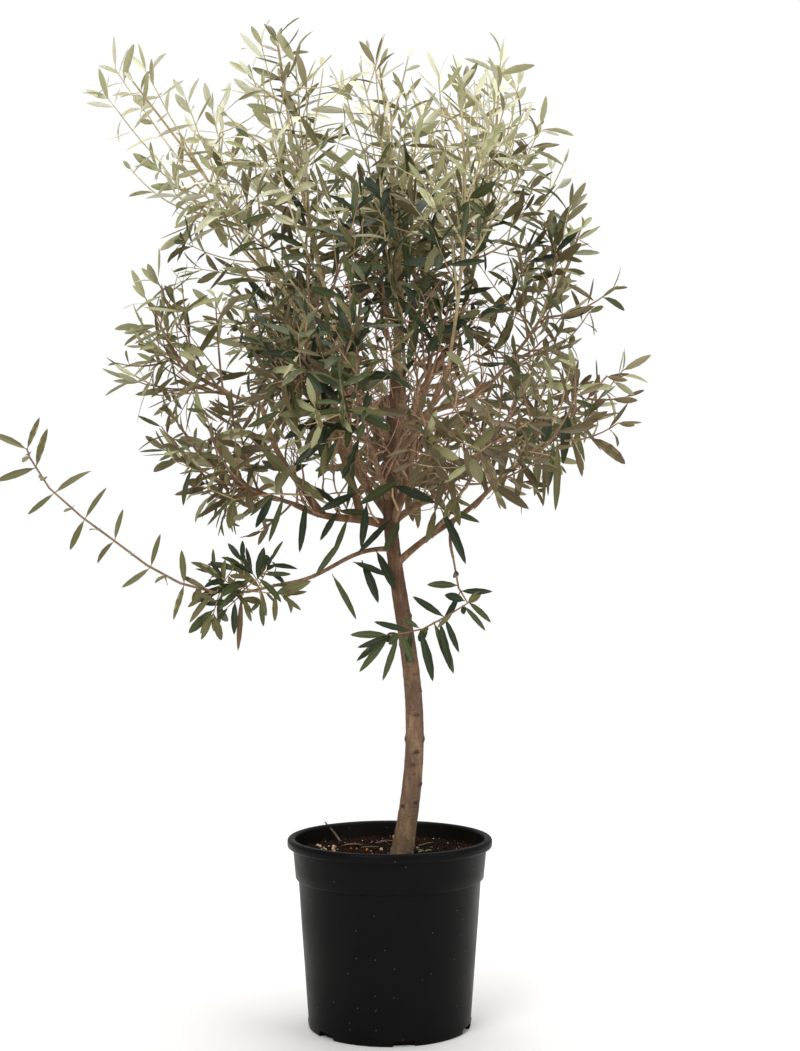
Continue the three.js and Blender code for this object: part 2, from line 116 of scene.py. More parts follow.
# Name, parent and the share of its length where the bough leaves it, radii, tip, bow and wave.
BOUGHS = (
    ("left_bough", "trunk", 0.685, (6.4, 4.0), (-130, -12, 712), (0, 0, -4), (0, 0, 3)),
    ("right_leader_bough", "trunk", 0.7, (6.8, 4.4), (92, 66, 950), (-22, 8, 0), (0, 6, 0)),
    ("inner_right_bough", "trunk", 0.69, (5.6, 3.4), (44, -40, 850), (6, -6, 0), (3, 0, 0)),
    ("low_right_bough", "trunk", 0.604, (4.6, 3.0), (150, -40, 748), (0, 0, -4), (0, 0, 4)),
    ("rear_right_bough", "trunk", 0.69, (5.0, 3.4), (118, 108, 780), (0, 0, -10), (0, 0, 4)),
    ("side_right_bough", "right_leader_bough", 0.52, (4.6, 3.2), (140, 16, 880), (0, 0, -4), (0, 0, 3)),
    ("low_left_bough", "trunk", 0.637, (3.2, 2.4), (-146, -46, 604), (0, 0, 4), (0, 0, 6)),
    ("mid_left_bough", "left_bough", 0.72, (5.0, 3.4), (-176, 10, 846), (-8, 0, -6), (0, 0, 4)),
    ("upper_left_bough", "left_bough", 0.3, (5.4, 3.6), (-116, 2, 960), (-6, 0, 4), (4, 0, 0)),
    ("rear_left_bough", "trunk", 0.705, (5.6, 3.6), (-78, 120, 840), (-6, 10, -14), (0, 0, 4)),
    ("rear_bough", "right_leader_bough", 0.34, (5.0, 3.4), (20, 112, 915), (0, 12, -6), (0, 0, 3)),
    ("low_rear_bough", "trunk", 0.672, (4.4, 3.0), (8, 104, 730), (0, 0, -6), (0, 0, 3)),
    ("front_left_bough", "trunk", 0.86, (4.6, 3.2), (-66, -72, 925), (0, -8, -8), (0, 0, 3)),
    ("front_bough", "trunk", 0.74, (4.6, 3.2), (-22, -106, 785), (0, 0, -6), (0, 0, 3)),
    ("front_right_bough", "trunk", 0.8, (4.6, 3.2), (78, -92, 890), (0, -6, -10), (0, 0, 3)),
    ("low_front_bough", "low_right_bough", 0.34, (3.4, 2.6), (92, -100, 722), (0, 0, -4), (0, 0, 2)),
    ("hanging_bough", "low_right_bough", 0.55, (2.4, 1.8), (85, -62, 640), (-4, -6, 0), (0, 0, 0)),
)


@dataclass(frozen=True)
class Mass:
    """A mass of leaves: the ellipsoid it fills, and the stem that carries it.

    reach holds outermost points that long shoots touch. The solids' shoots leave the stem within span,
    and bare is the leafless share of its foot. A sparse mass is one leafy whip along path. fill is the
    share of the width that fine growth fills, and leafy scales the number of extra shoots.
    """

    name: str
    bough: str
    centre: tuple
    half: tuple
    tip: tuple
    bow: tuple
    shoots: int
    seed: int
    reach: tuple = ()
    span: tuple = (0.05, 0.9)
    bare: float = 0.35
    sparse: bool = False
    path: tuple = ()
    fill: float = 1.0
    leafy: float = 1.0


MASSES = (
    Mass("crown_centre_foliage", "trunk", (-6, 6, 1120), (95, 95, 215), (-14, -6, 1310), (10, 0, 0), 7, 11,
         ((-24, -20, 1361), (25, 10, 1326), (-79, -10, 1330), (60, 40, 1300)),
         leafy=0.6),
    Mass("right_leader_foliage", "right_leader_bough", (152, 70, 1140), (115, 110, 205), (152, 40, 1312),
         (14, 0, 0), 7, 12, ((100, 50, 1353), (161, 30, 1386), (192, 60, 1350), (236, 60, 1290),
                             (230, 90, 1240), (120, 130, 1330)), leafy=0.35),
    Mass("inner_right_foliage", "inner_right_bough", (62, -52, 925), (75, 75, 95), (72, -66, 985),
         (0, 0, 0), 5, 13),
    Mass("low_right_foliage", "low_right_bough", (215, -50, 815), (115, 105, 115), (292, -50, 884),
         (0, 0, -10), 7, 14, ((352, -50, 927), (315, -40, 859)), fill=0.5, leafy=0.4),
    Mass("rear_right_foliage", "rear_right_bough", (160, 150, 850), (125, 115, 130), (222, 190, 900),
         (0, 0, -6), 7, 15, ((230, 230, 960), (270, 150, 840)), leafy=0.55),
    Mass("side_right_foliage", "side_right_bough", (218, 16, 1000), (105, 125, 130), (262, 0, 1090),
         (12, 0, -8), 7, 16, ((278, 10, 1008), (281, -20, 966), (257, 20, 1050), (258, -20, 1168),
                              (228, -60, 1104)), fill=0.62, leafy=0.5),
    Mass("low_left_foliage", "left_bough", (-205, -20, 775), (120, 125, 95), (-268, -30, 782),
         (0, 0, -8), 7, 17, ((-351, -30, 806), (-301, -20, 749), (-301, 10, 725), (-250, -60, 686))),
    Mass("mid_left_foliage", "mid_left_bough", (-268, 10, 925), (115, 130, 110), (-330, 0, 930),
         (0, 0, -8), 7, 18, ((-383, 10, 988), (-376, 30, 938), (-340, -40, 1060), (-401, 0, 885),
                             (-360, -20, 1035)), fill=0.75, leafy=0.45),
    Mass("upper_left_foliage", "upper_left_bough", (-222, 16, 1130), (145, 110, 145), (-350, -14, 1288),
         (12, 0, -8), 7, 19, ((-424, -14, 1309), (-405, -20, 1346), (-362, 0, 1350), (-303, 10, 1318),
                              (-257, 20, 1304), (-362, 20, 1201), (-342, -30, 1138), (-223, 40, 1311)),
         fill=0.74, leafy=0.5),
    Mass("rear_left_foliage", "rear_left_bough", (-130, 165, 930), (125, 115, 135), (-166, 196, 1020),
         (0, 10, -8), 7, 20, ((-190, 240, 1060), (-240, 200, 960)), leafy=0.75),
    Mass("rear_foliage", "rear_bough", (16, 165, 1105), (120, 105, 180), (0, 160, 1290), (0, 12, 0), 7, 21,
         ((-40, 190, 1330), (40, 150, 1320), (90, 210, 1260)), leafy=0.5),
    Mass("low_rear_foliage", "low_rear_bough", (14, 172, 790), (110, 105, 105), (20, 236, 830),
         (0, 0, -6), 7, 26, leafy=0.7),
    Mass("front_left_foliage", "front_left_bough", (-118, -102, 1125), (105, 105, 190), (-148, -84, 1318),
         (-8, -14, 0), 7, 22, ((-182, -90, 1368), (-158, -84, 1380), (-130, -80, 1355), (-109, -90, 1320),
                               (-205, -60, 1330)), leafy=0.65),
    Mass("front_foliage", "front_bough", (-70, -165, 845), (125, 105, 115), (-116, -216, 905),
         (0, 0, -8), 7, 23),
    Mass("front_right_foliage", "front_right_bough", (100, -128, 1080), (110, 105, 175), (90, -118, 1275),
         (14, -12, 0), 7, 24, ((60, -110, 1320), (150, -120, 1290)), leafy=0.5),
    Mass("low_front_foliage", "low_front_bough", (100, -165, 775), (110, 100, 90), (128, -212, 800),
         (0, 0, -6), 6, 27, leafy=0.35),
    Mass("low_left_spray", "low_left_bough", (-310, -60, 660), (240, 75, 165), (-466, -64, 752),
         (0, 0, -62), 6, 25, (), (0.02, 0.4), 0.02, True,
         ((-146, -46, 604), (-190, -52, 594), (-236, -56, 594), (-280, -60, 606), (-324, -62, 630),
          (-369, -64, 664), (-410, -64, 694), (-454, -64, 733), (-480, -64, 774), (-484, -64, 786))),
    Mass("hanging_spray", "hanging_bough", (40, -85, 560), (100, 60, 85), (-14, -80, 534),
         (26, 0, -14), 2, 31, (), (0.05, 0.9), 0.08, True,
         ((85, -62, 640), (92, -68, 600), (104, -76, 580), (76, -82, 563), (44, -86, 546), (0, -90, 538))),
)
GOLDEN_ANGLE = math.radians(137.5)
# The solids' own shoots: lean from the stem in degrees, rise a step, bud to bud, and greatest length.
SHOOT_LEAN = (40, 78)
SHOOT_RISE = 0.14
SHOOT_STEP = 14
SHOOT_LONGEST = 200
TWIG_CLEAR = 3.0
# Growth beyond the solids' own: extra shoots, side twigs on shoots, bare twigs and their forks.
EXTRA_LEAN, EXTRA_LENGTH, EXTRA_RISE = (18, 70), (120, 260), (0.02, 0.16)
SIDE_LEAN, SIDE_LENGTH, SIDE_RISE = (32, 62), (45, 125), (0.0, 0.18)
BARE_LEAN, BARE_LENGTH, BARE_CLEAR = (25, 60), (60, 190), 2.0
FORK_LEAN, FORK_LENGTH = (30, 55), (35, 90)
# How far such growth may cross into the next mass, and its reach as a multiple of its own ellipsoid.
EXTRA_OVERLAP, EXTRA_SWELL = 6, 1.06
SIDE_OVERLAP, SIDE_SWELL = 12, 1.12
# Thickness of a twig at its root and at its tip, as radii.
REACH_RADII, SHOOT_RADII, SIDE_RADII = (2.0, 0.8), (1.8, 0.8), (1.15, 0.55)
ROSETTE_RADII, FORK_RADII, FREE_RADII = (1.1, 0.7), (0.95, 0.5), (1.9, 0.9)
# Wood whose tip stands higher than this takes pale barks: it is young, and they paint the sunlight on the
# top.
SUNNY_HEIGHT = 1110
# How far from the pot's axis the leafless, shaded middle of the crown reaches.
SHADE_REACH = 145.0
# The crown's open middle, above its fork: an ellipsoid of few leaves.
MIDDLE_CENTRE, MIDDLE_HALF = (60, -20, 840), (165, 330, 150)
# How far a leaf's middle and its tip stay clear of limbs, and the same two measures of its reach.
LEAF_CLEAR, LEAF_TIP_CLEAR = 2.5, 1.5
LEAF_OVERLAP, LEAF_SWELL = 26, 1.3
# Gaps between the pairs of leaves on a whip, and on the tufts at its old cut.
WHIP_GAP, TUFT_GAP = 21, 11
# Long and short pairs in turn on a whip: range of the length, and of the width as a share of it.
WHIP_PAIRS = (((42, 60), (0.16, 0.22)), ((18, 32), (0.34, 0.45)))
LEAF_BREADTH = (0.16, 0.26)
# A reaching shoot ends this share of the longest leaf short of the point that it aims at.
REACH_LEAF = 0.78

# How far a leaf scar on the trunk swells out, and how deep the dimple in its middle is.
SCAR_SWELL, SCAR_DIMPLE = 2.4, 1.5
# The scars: height above the floor, angle round the trunk from the front, and width.
SCARS = ((426, 12, 12), (393, -78, 13), (393, 78, 13), (376, 13, 12), (359, -4, 10), (332, 60, 11),
         (308, 34, 10), (303, -40, 12), (470, 150, 12), (520, -120, 10), (350, 160, 12), (560, 100, 9),
         (610, -30, 10), (458, 60, 9), (500, 20, 8))


# ---------------------------------------------------------------- colours and nodes


def linear(code):
    """An sRGB colour such as "#2f4030" as linear red, green and blue."""
    channels = [int(code[i:i + 2], 16) / 255 for i in (1, 3, 5)]
    return tuple(c / 12.92 if c <= 0.04045 else ((c + 0.055) / 1.055) ** 2.4 for c in channels)


def shade(colour, factor):
    """A linear colour made lighter or darker, with alpha for a node's socket."""
    return tuple(min(1.0, c * factor) for c in colour[:3]) + (1.0,)


def node(tree, kind, inputs=None, **settings):
    """Adds a node with its settings. Each input is a value or the socket that it is linked to."""
    made = tree.nodes.new(kind)
    for name, value in settings.items():
        setattr(made, name, value)
    for socket, value in (inputs or {}).items():
        if isinstance(value, bpy.types.NodeSocket):
            tree.links.new(value, made.inputs[socket])
        else:
            made.inputs[socket].default_value = value
    return made


def ramp_stops(ramp_node, stops):
    """Sets a Color Ramp's stops from pairs of place and linear colour."""
    elements = ramp_node.color_ramp.elements
    while len(elements) < len(stops):
        elements.new(0.5)
    for element, (place, colour) in zip(elements, stops):
        element.position = place
        element.color = shade(colour, 1.0)


def new_material(name, **sockets):
    """A material whose Principled shader has the given socket values, its tree and its shader."""
    material = bpy.data.materials.new(name)
    material.use_nodes = True
    shader = material.node_tree.nodes["Principled BSDF"]
    for socket, value in sockets.items():
        shader.inputs[socket.replace("_", " ")].default_value = value
    return material, material.node_tree, shader


def moulded_polypropylene(settings):
    """Recycled black polypropylene, injection moulded: satin, faintly orange-peeled, dusted with peat."""
    material, tree, shader = new_material(
        "moulded_black_polypropylene", Roughness=0.36, IOR=1.49, Specular_IOR_Level=0.07)
    place = node(tree, "ShaderNodeTexCoord").outputs["Object"]
    # Cloudy change of black over about 60 mm, where the pot was handled.
    cloud = node(tree, "ShaderNodeTexNoise", {"Vector": place, "Scale": 1 / 0.06, "Detail": 4.0})
    # Dried splashes: a dot of about 1 mm in one out of ten cells of 14 mm on the wall, which is
    # unrolled at a radius of 130 mm.
    spot = node(tree, "ShaderNodeSeparateXYZ", {"Vector": place})
    angle = node(tree, "ShaderNodeMath", {0: spot.outputs["Y"], 1: spot.outputs["X"]}, operation="ARCTAN2")
    round_wall = node(tree, "ShaderNodeMath", {0: angle.outputs["Value"], 1: 0.13}, operation="MULTIPLY")
    unrolled = node(tree, "ShaderNodeCombineXYZ", {"X": round_wall.outputs["Value"], "Y": spot.outputs["Z"]})
    cells = node(tree, "ShaderNodeTexVoronoi", {"Vector": unrolled.outputs["Vector"], "Scale": 1 / 0.014},
                 voronoi_dimensions="2D")
    chance = node(tree, "ShaderNodeSeparateXYZ", {"Vector": cells.outputs["Color"]})
    picked = node(tree, "ShaderNodeMath", {0: chance.outputs["X"], 1: 0.9}, operation="GREATER_THAN")
    dot = node(tree, "ShaderNodeMapRange", {"Value": cells.outputs["Distance"], "From Min": 0.03,
                                            "From Max": 0.055, "To Min": 0.9, "To Max": 0.0})
    specks = node(tree, "ShaderNodeMath", {0: dot.outputs["Result"], 1: picked.outputs["Value"]},
                  operation="MULTIPLY")
    black = node(tree, "ShaderNodeValToRGB", {"Fac": cloud.outputs["Fac"]})
    ramp_stops(black, ((0.35, settings.plastic), (0.7, tuple(c * 1.5 for c in settings.plastic))))
    # Peat dust clings to the inside of the wall, where the skin faces the axis.
    skin = node(tree, "ShaderNodeTexCoord").outputs["Normal"]
    faced = node(tree, "ShaderNodeVectorMath", {0: place, 1: (1.0, 1.0, 0.0)}, operation="MULTIPLY")
    facing = node(tree, "ShaderNodeVectorMath", {0: faced.outputs["Vector"], 1: skin},
                  operation="DOT_PRODUCT")
    inside = node(tree, "ShaderNodeMapRange", {"Value": facing.outputs["Value"], "From Min": -0.06,
                                               "From Max": 0.0, "To Min": 0.03, "To Max": 0.0})
    dusty = node(tree, "ShaderNodeMath", {0: specks.outputs["Value"], 1: inside.outputs["Result"]},
                 operation="MAXIMUM")
    coloured = node(tree, "ShaderNodeMix", {0: dusty.outputs["Value"], 6: black.outputs["Color"],
                                            7: shade(settings.dust, 1.0)}, data_type="RGBA")
    tree.links.new(coloured.outputs[2], shader.inputs["Base Color"])
    rough = node(tree, "ShaderNodeMapRange", {"Value": cloud.outputs["Fac"], "From Min": 0.3,
                                              "From Max": 0.7, "To Min": 0.3, "To Max": 0.46})
    tree.links.new(rough.outputs["Result"], shader.inputs["Roughness"])
    # Scuffs run round the pot, so their noise is drawn out flat.
    flat = node(tree, "ShaderNodeMapping", {"Vector": place, "Scale": (60.0, 60.0, 900.0)})
    scuff = node(tree, "ShaderNodeTexNoise", {"Vector": flat.outputs["Vector"], "Scale": 1.0, "Detail": 5.0})
    peel = node(tree, "ShaderNodeTexNoise", {"Vector": place, "Scale": 1 / 0.0016, "Detail": 2.0})
    height = node(tree, "ShaderNodeMath", {0: scuff.outputs["Fac"], 1: peel.outputs["Fac"]}, operation="ADD")
    bump = node(tree, "ShaderNodeBump", {"Height": height.outputs["Value"], "Strength": 0.12,
                                         "Distance": 0.0006})
    tree.links.new(bump.outputs["Normal"], shader.inputs["Normal"])
    return material


def olive_bark(settings, name, ripe, young, patch_share):
    """Young olive bark, grown not worked: smooth and dull, with rusty patches and corky dots."""
    material, tree, shader = new_material(name, Roughness=0.8, IOR=1.45)
    place = node(tree, "ShaderNodeTexCoord").outputs["Object"]
    # Cloudy change over about 20 mm, drawn out to twice that up the stem.
    along = node(tree, "ShaderNodeMapping", {"Vector": place, "Scale": (55.0, 55.0, 24.0)})
    cloud = node(tree, "ShaderNodeTexNoise", {"Vector": along.outputs["Vector"], "Scale": 1.0,
                                              "Detail": 6.0, "Roughness": 0.6})
    # Fine mottling of about 1.5 mm, as wide as it is high.
    mottle = node(tree, "ShaderNodeTexNoise", {"Vector": place, "Scale": 1 / 0.003, "Detail": 5.0,
                                               "Roughness": 0.7})
    grey = node(tree, "ShaderNodeValToRGB", {"Fac": cloud.outputs["Fac"]})
    ramp_stops(grey, ((0.32, tuple(c * 0.75 for c in ripe)), (0.5, ripe), (0.68, young)))
    fleck = node(tree, "ShaderNodeMapRange", {"Value": mottle.outputs["Fac"], "From Min": 0.3,
                                              "From Max": 0.7, "To Min": 0.72, "To Max": 1.25})
    flecked = node(tree, "ShaderNodeVectorMath", {0: grey.outputs["Color"],
                                                  "Scale": fleck.outputs["Result"]}, operation="SCALE")
    # Rusty streaks, about 8 mm wide and 50 mm long.
    drawn = node(tree, "ShaderNodeMapping", {"Vector": place, "Scale": (125.0, 125.0, 20.0)})
    patch = node(tree, "ShaderNodeTexNoise", {"Vector": drawn.outputs["Vector"], "Scale": 1.0,
                                              "Detail": 6.0, "Roughness": 0.7})
    worn = node(tree, "ShaderNodeMapRange", {"Value": patch.outputs["Fac"], "From Min": 0.48,
                                             "From Max": 0.66, "To Min": 0.0, "To Max": patch_share})
    # The bark is reddest below and round the fork, 0.5 to 0.75 m above the floor.
    spot = node(tree, "ShaderNodeSeparateXYZ", {"Vector": place})
    lower = node(tree, "ShaderNodeMapRange", {"Value": spot.outputs["Z"], "From Min": 0.4, "From Max": 0.58,
                                              "To Min": 0.0, "To Max": patch_share})
    upper = node(tree, "ShaderNodeMapRange", {"Value": spot.outputs["Z"], "From Min": 0.72,
                                              "From Max": 0.85, "To Min": 1.0, "To Max": 0.15})
    band = node(tree, "ShaderNodeMath", {0: lower.outputs["Result"], 1: upper.outputs["Result"]},
                operation="MULTIPLY")
    streaks = node(tree, "ShaderNodeMapRange", {"Value": patch.outputs["Fac"], "From Min": 0.42,
                                                "From Max": 0.58, "To Min": 0.35, "To Max": 1.25})
    ruddy = node(tree, "ShaderNodeMath", {0: band.outputs["Value"], 1: streaks.outputs["Result"]},
                 operation="MULTIPLY", use_clamp=True)
    either = node(tree, "ShaderNodeMath", {0: ruddy.outputs["Value"], 1: worn.outputs["Result"]},
                  operation="MAXIMUM")
    # A film of algae just above the damp mix.
    film = node(tree, "ShaderNodeMapRange", {"Value": spot.outputs["Z"], "From Min": 0.234,
                                             "From Max": 0.275, "To Min": 0.5, "To Max": 0.0})
    mossy = node(tree, "ShaderNodeMix", {0: film.outputs["Result"], 6: flecked.outputs["Vector"],
                                         7: shade(linear("#70654a"), 1.0)}, data_type="RGBA")
    rust = node(tree, "ShaderNodeMix", {0: either.outputs["Value"], 6: mossy.outputs[2],
                                        7: shade(settings.rust, 1.0)}, data_type="RGBA")
    # Corky dots and the faint rings between years run across the stem.
    across = node(tree, "ShaderNodeMapping", {"Vector": place, "Scale": (75.0, 75.0, 330.0)})
    cork = node(tree, "ShaderNodeTexNoise", {"Vector": across.outputs["Vector"], "Scale": 1.0,
                                             "Detail": 3.0})
    crack = node(tree, "ShaderNodeMapRange", {"Value": cork.outputs["Fac"], "From Min": 0.58,
                                              "From Max": 0.68, "To Min": 0.0, "To Max": 0.55})
    barked = node(tree, "ShaderNodeMix", {0: crack.outputs["Result"], 6: rust.outputs[2],
                                          7: shade(ripe, 0.35)}, data_type="RGBA")
    # The corky dimples of old leaf scars are marked on the trunk's mesh.
    scar = node(tree, "ShaderNodeAttribute", attribute_name="scar").outputs["Fac"]
    scarred = node(tree, "ShaderNodeMix", {0: scar, 6: barked.outputs[2], 7: shade(settings.rust, 0.25)},
                   data_type="RGBA")
    tree.links.new(scarred.outputs[2], shader.inputs["Base Color"])
    height = node(tree, "ShaderNodeMath", {0: mottle.outputs["Fac"], 1: crack.outputs["Result"]},
                  operation="SUBTRACT")
    bump = node(tree, "ShaderNodeBump", {"Height": height.outputs["Value"], "Strength": 0.45,
                                         "Distance": 0.0006})
    tree.links.new(bump.outputs["Normal"], shader.inputs["Normal"])
    return material


def olive_leaf(name, colour, roughness, gloss):
    """A leathery leaf. The upper side is waxy, and the underside is matt with silvery scales."""
    material, tree, shader = new_material(name, Roughness=roughness, IOR=1.45, Specular_IOR_Level=gloss)
    shader.inputs["Base Color"].default_value = shade(colour, 1.0)
    # The blade is a little wavy between its veins, about 4 mm apart.
    place = node(tree, "ShaderNodeTexCoord").outputs["Object"]
    waves = node(tree, "ShaderNodeTexNoise", {"Vector": place, "Scale": 1 / 0.008, "Detail": 1.0})
    bump = node(tree, "ShaderNodeBump", {"Height": waves.outputs["Fac"], "Strength": 0.12,
                                         "Distance": 0.0008})
    tree.links.new(bump.outputs["Normal"], shader.inputs["Normal"])
    return material


def leaf_skins(name, colours, finishes):
    """Materials of a leaf's upper side, underside and midrib. A finish is roughness and gloss."""
    sides = zip(("top", "back", "midrib"), colours, finishes)
    return [olive_leaf(f"{name}_{side}", linear(colour), *finish) for side, colour, finish in sides]


def loose_matter(name, dark, light, grain, roughness=0.9):
    """Loose matter such as bark fines, fired clay or perlite: matt, mottled and pitted at its grain."""
    material, tree, shader = new_material(name, Roughness=roughness, IOR=1.4, Specular_IOR_Level=0.12)
    place = node(tree, "ShaderNodeTexCoord").outputs["Object"]
    mottle = node(tree, "ShaderNodeTexNoise", {"Vector": place, "Scale": 1 / (2 * grain), "Detail": 5.0,
                                               "Roughness": 0.7})
    colour = node(tree, "ShaderNodeValToRGB", {"Fac": mottle.outputs["Fac"]})
    ramp_stops(colour, ((0.35, dark), (0.65, light)))
    tree.links.new(colour.outputs["Color"], shader.inputs["Base Color"])
    bump = node(tree, "ShaderNodeBump", {"Height": mottle.outputs["Fac"], "Strength": 0.8,
                                         "Distance": grain / 4})
    tree.links.new(bump.outputs["Normal"], shader.inputs["Normal"])
    return material


# ---------------------------------------------------------------- meshes


def show(name, vertices, faces, materials, face_material=None, smooth=True, sharp=None):
    """A mesh object from vertices in millimetres. sharp marks the edges that stay creased."""
    mesh = bpy.data.meshes.new(name)
    mesh.from_pydata((np.asarray(vertices) * MM).tolist(), [], faces)
    for material in materials:
        mesh.materials.append(material)
    if face_material is not None:
        mesh.polygons.foreach_set("material_index", np.asarray(face_material, np.int32))
    set_smooth(mesh, smooth)
    if sharp is not None:
        ends = np.empty(2 * len(mesh.edges), np.int32)
        mesh.edges.foreach_get("vertices", ends)
        crease = mesh.attributes.new("sharp_edge", "BOOLEAN", "EDGE")
        crease.data.foreach_set("value", sharp(ends.reshape(-1, 2)))
    mesh.validate()
    return new_object(name, mesh)


def set_smooth(mesh, smooth=True):
    """Shades all the faces smooth, or all of them flat."""
    mesh.polygons.foreach_set("use_smooth", np.full(len(mesh.polygons), smooth))


def mesh_of(shape, name):
    """The mesh that a bmesh holds. The bmesh is freed."""
    mesh = bpy.data.meshes.new(name)
    shape.to_mesh(mesh)
    shape.free()
    return mesh


def new_object(name, mesh):
    """An object at the origin that shows a mesh."""
    made = bpy.data.objects.new(name, mesh)
    bpy.context.scene.collection.objects.link(made)
    return made


def finish_piece(piece, slot, *nodes):
    """Puts a piece under its body and hides the solids that it stands for. slot is not used."""
    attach(piece, BODY)
    if nodes:
        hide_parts(*nodes)


def plain(host, name):
    """The result of a host's modifiers as a plain mesh object. The host is removed."""
    bpy.context.view_layer.update()
    shown = host.evaluated_get(bpy.context.evaluated_depsgraph_get())
    mesh = bpy.data.meshes.new_from_object(shown)
    host.modifiers.clear()
    bpy.data.objects.remove(host)
    mesh.name = name
    return new_object(name, mesh)


def geometry_nodes(name, sockets):
    """An empty Geometry Nodes tree with the named inputs, given as pairs of name and socket type."""
    tree = bpy.data.node_groups.new(name, "GeometryNodeTree")
    tree.interface.new_socket("Geometry", in_out="INPUT", socket_type="NodeSocketGeometry")
    for label, kind in sockets:
        tree.interface.new_socket(label, in_out="INPUT", socket_type=kind)
    tree.interface.new_socket("Geometry", in_out="OUTPUT", socket_type="NodeSocketGeometry")
    return tree, node(tree, "NodeGroupInput").outputs, node(tree, "NodeGroupOutput")


def end_tree(tree, geometry, given, out):
    """The end of every tree: its instances made real, and its material set."""
    real = node(tree, "GeometryNodeRealizeInstances", {"Geometry": geometry})
    done = node(tree, "GeometryNodeSetMaterial", {"Geometry": real.outputs["Geometry"],
                                                  "Material": given["Material"]})
    tree.links.new(done.outputs["Geometry"], out.inputs["Geometry"])
    return tree


def run_nodes(host, tree, values):
    """Puts a tree on its host and sets its inputs by the sockets' identifiers."""
    modifier = host.modifiers.new(tree.name, "NODES")
    modifier.node_group = tree
    for item in tree.interface.items_tree:
        if item.in_out == "INPUT" and item.name in values:
            modifier[item.identifier] = values[item.name]
    return host


def lathe(profile, facets):
    """Vertices and faces of a closed solid of revolution. The profile starts and ends on the axis."""
    ring = np.linspace(0, 2 * math.pi, facets, endpoint=False)
    round_it = np.stack([np.sin(ring), -np.cos(ring)], 1)
    inner = profile[1:-1]
    vertices = [np.column_stack([round_it * radius, np.full(facets, z)]) for radius, z in inner]
    vertices = np.concatenate([*vertices, [[0, 0, profile[0][1]]], [[0, 0, profile[-1][1]]]])
    foot, head = len(vertices) - 2, len(vertices) - 1
    faces = []
    for k in range(facets):
        after = (k + 1) % facets
        faces.append((foot, after, k))
        for i in range(len(inner) - 1):
            low, high = i * facets, (i + 1) * facets
            faces.append((low + k, low + after, high + after, high + k))
        last = (len(inner) - 1) * facets
        faces.append((head, last + k, last + after))
    return vertices, faces


def arc(centre, radius, start, end, steps):
    """Points on an arc of a profile, from one angle to another in degrees."""
    angles = np.radians(np.linspace(start, end, steps + 1))
    return [(centre[0] + radius * math.cos(a), centre[1] + radius * math.sin(a)) for a in angles]


# ---------------------------------------------------------------- the rule of growth


def seeded(seed):
    """The same stream of numbers from 0 to 1 as the solids' generator (mulberry32)."""
    mask = 0xFFFFFFFF
    state = seed & mask

    def draw():
        nonlocal state
        state = (state + 0x6D2B79F5) & mask
        mixed = ((state ^ (state >> 15)) * (state | 1)) & mask
        mixed ^= (mixed + (((mixed ^ (mixed >> 7)) * (mixed | 61)) & mask)) & mask
        return (mixed ^ (mixed >> 14)) / 4294967296

    return draw


def unit(vector):
    return vector / np.linalg.norm(vector, axis=-1, keepdims=True)


def turned_about(vector, axis, angle):
    """A vector turned about a unit axis that it is square to."""
    return vector * math.cos(angle) + np.cross(axis, vector) * math.sin(angle)


def square_to(ahead, turn):
    """A direction square to ahead, turned about it."""
    reference = np.array([1.0, 0.0, 0.0]) if abs(ahead[2]) > 0.9 else UP
    return turned_about(unit(np.cross(ahead, reference)), ahead, turn)


class Path:
    """A line through points, read by the share of its length."""

    def __init__(self, points):
        self.points = np.asarray(points, float)
        runs = np.linalg.norm(np.diff(self.points, axis=0), axis=1)
        self.marks = np.concatenate([[0], np.cumsum(runs)])
        self.length = self.marks[-1]

    def at(self, share):
        mark = share * self.length
        return np.array([np.interp(mark, self.marks, self.points[:, k]) for k in range(3)])

    def ahead(self, share):
        low, high = max(0.0, share - 0.04), min(1.0, share + 0.04)
        return unit(self.at(high) - self.at(low))


def make_limbs():
    """Trunk, boughs and the stems of the masses by name, in the solids' order."""
    limbs = {"trunk": TRUNK}
    for name, parent, share, radii, tip, bow, wave in BOUGHS:
        root = tuple(limbs[parent].at(share))
        limbs[name] = Limb(name, root, tip, bow, wave, radii=radii)
    for mass in MASSES:
        bough = limbs[mass.bough]
        radii = (float(bough.radius(1)) * 0.8, 1.2)
        limbs[mass.name] = Limb(mass.name, tuple(bough.at(1.0)), mass.tip, mass.bow, radii=radii)
    return limbs


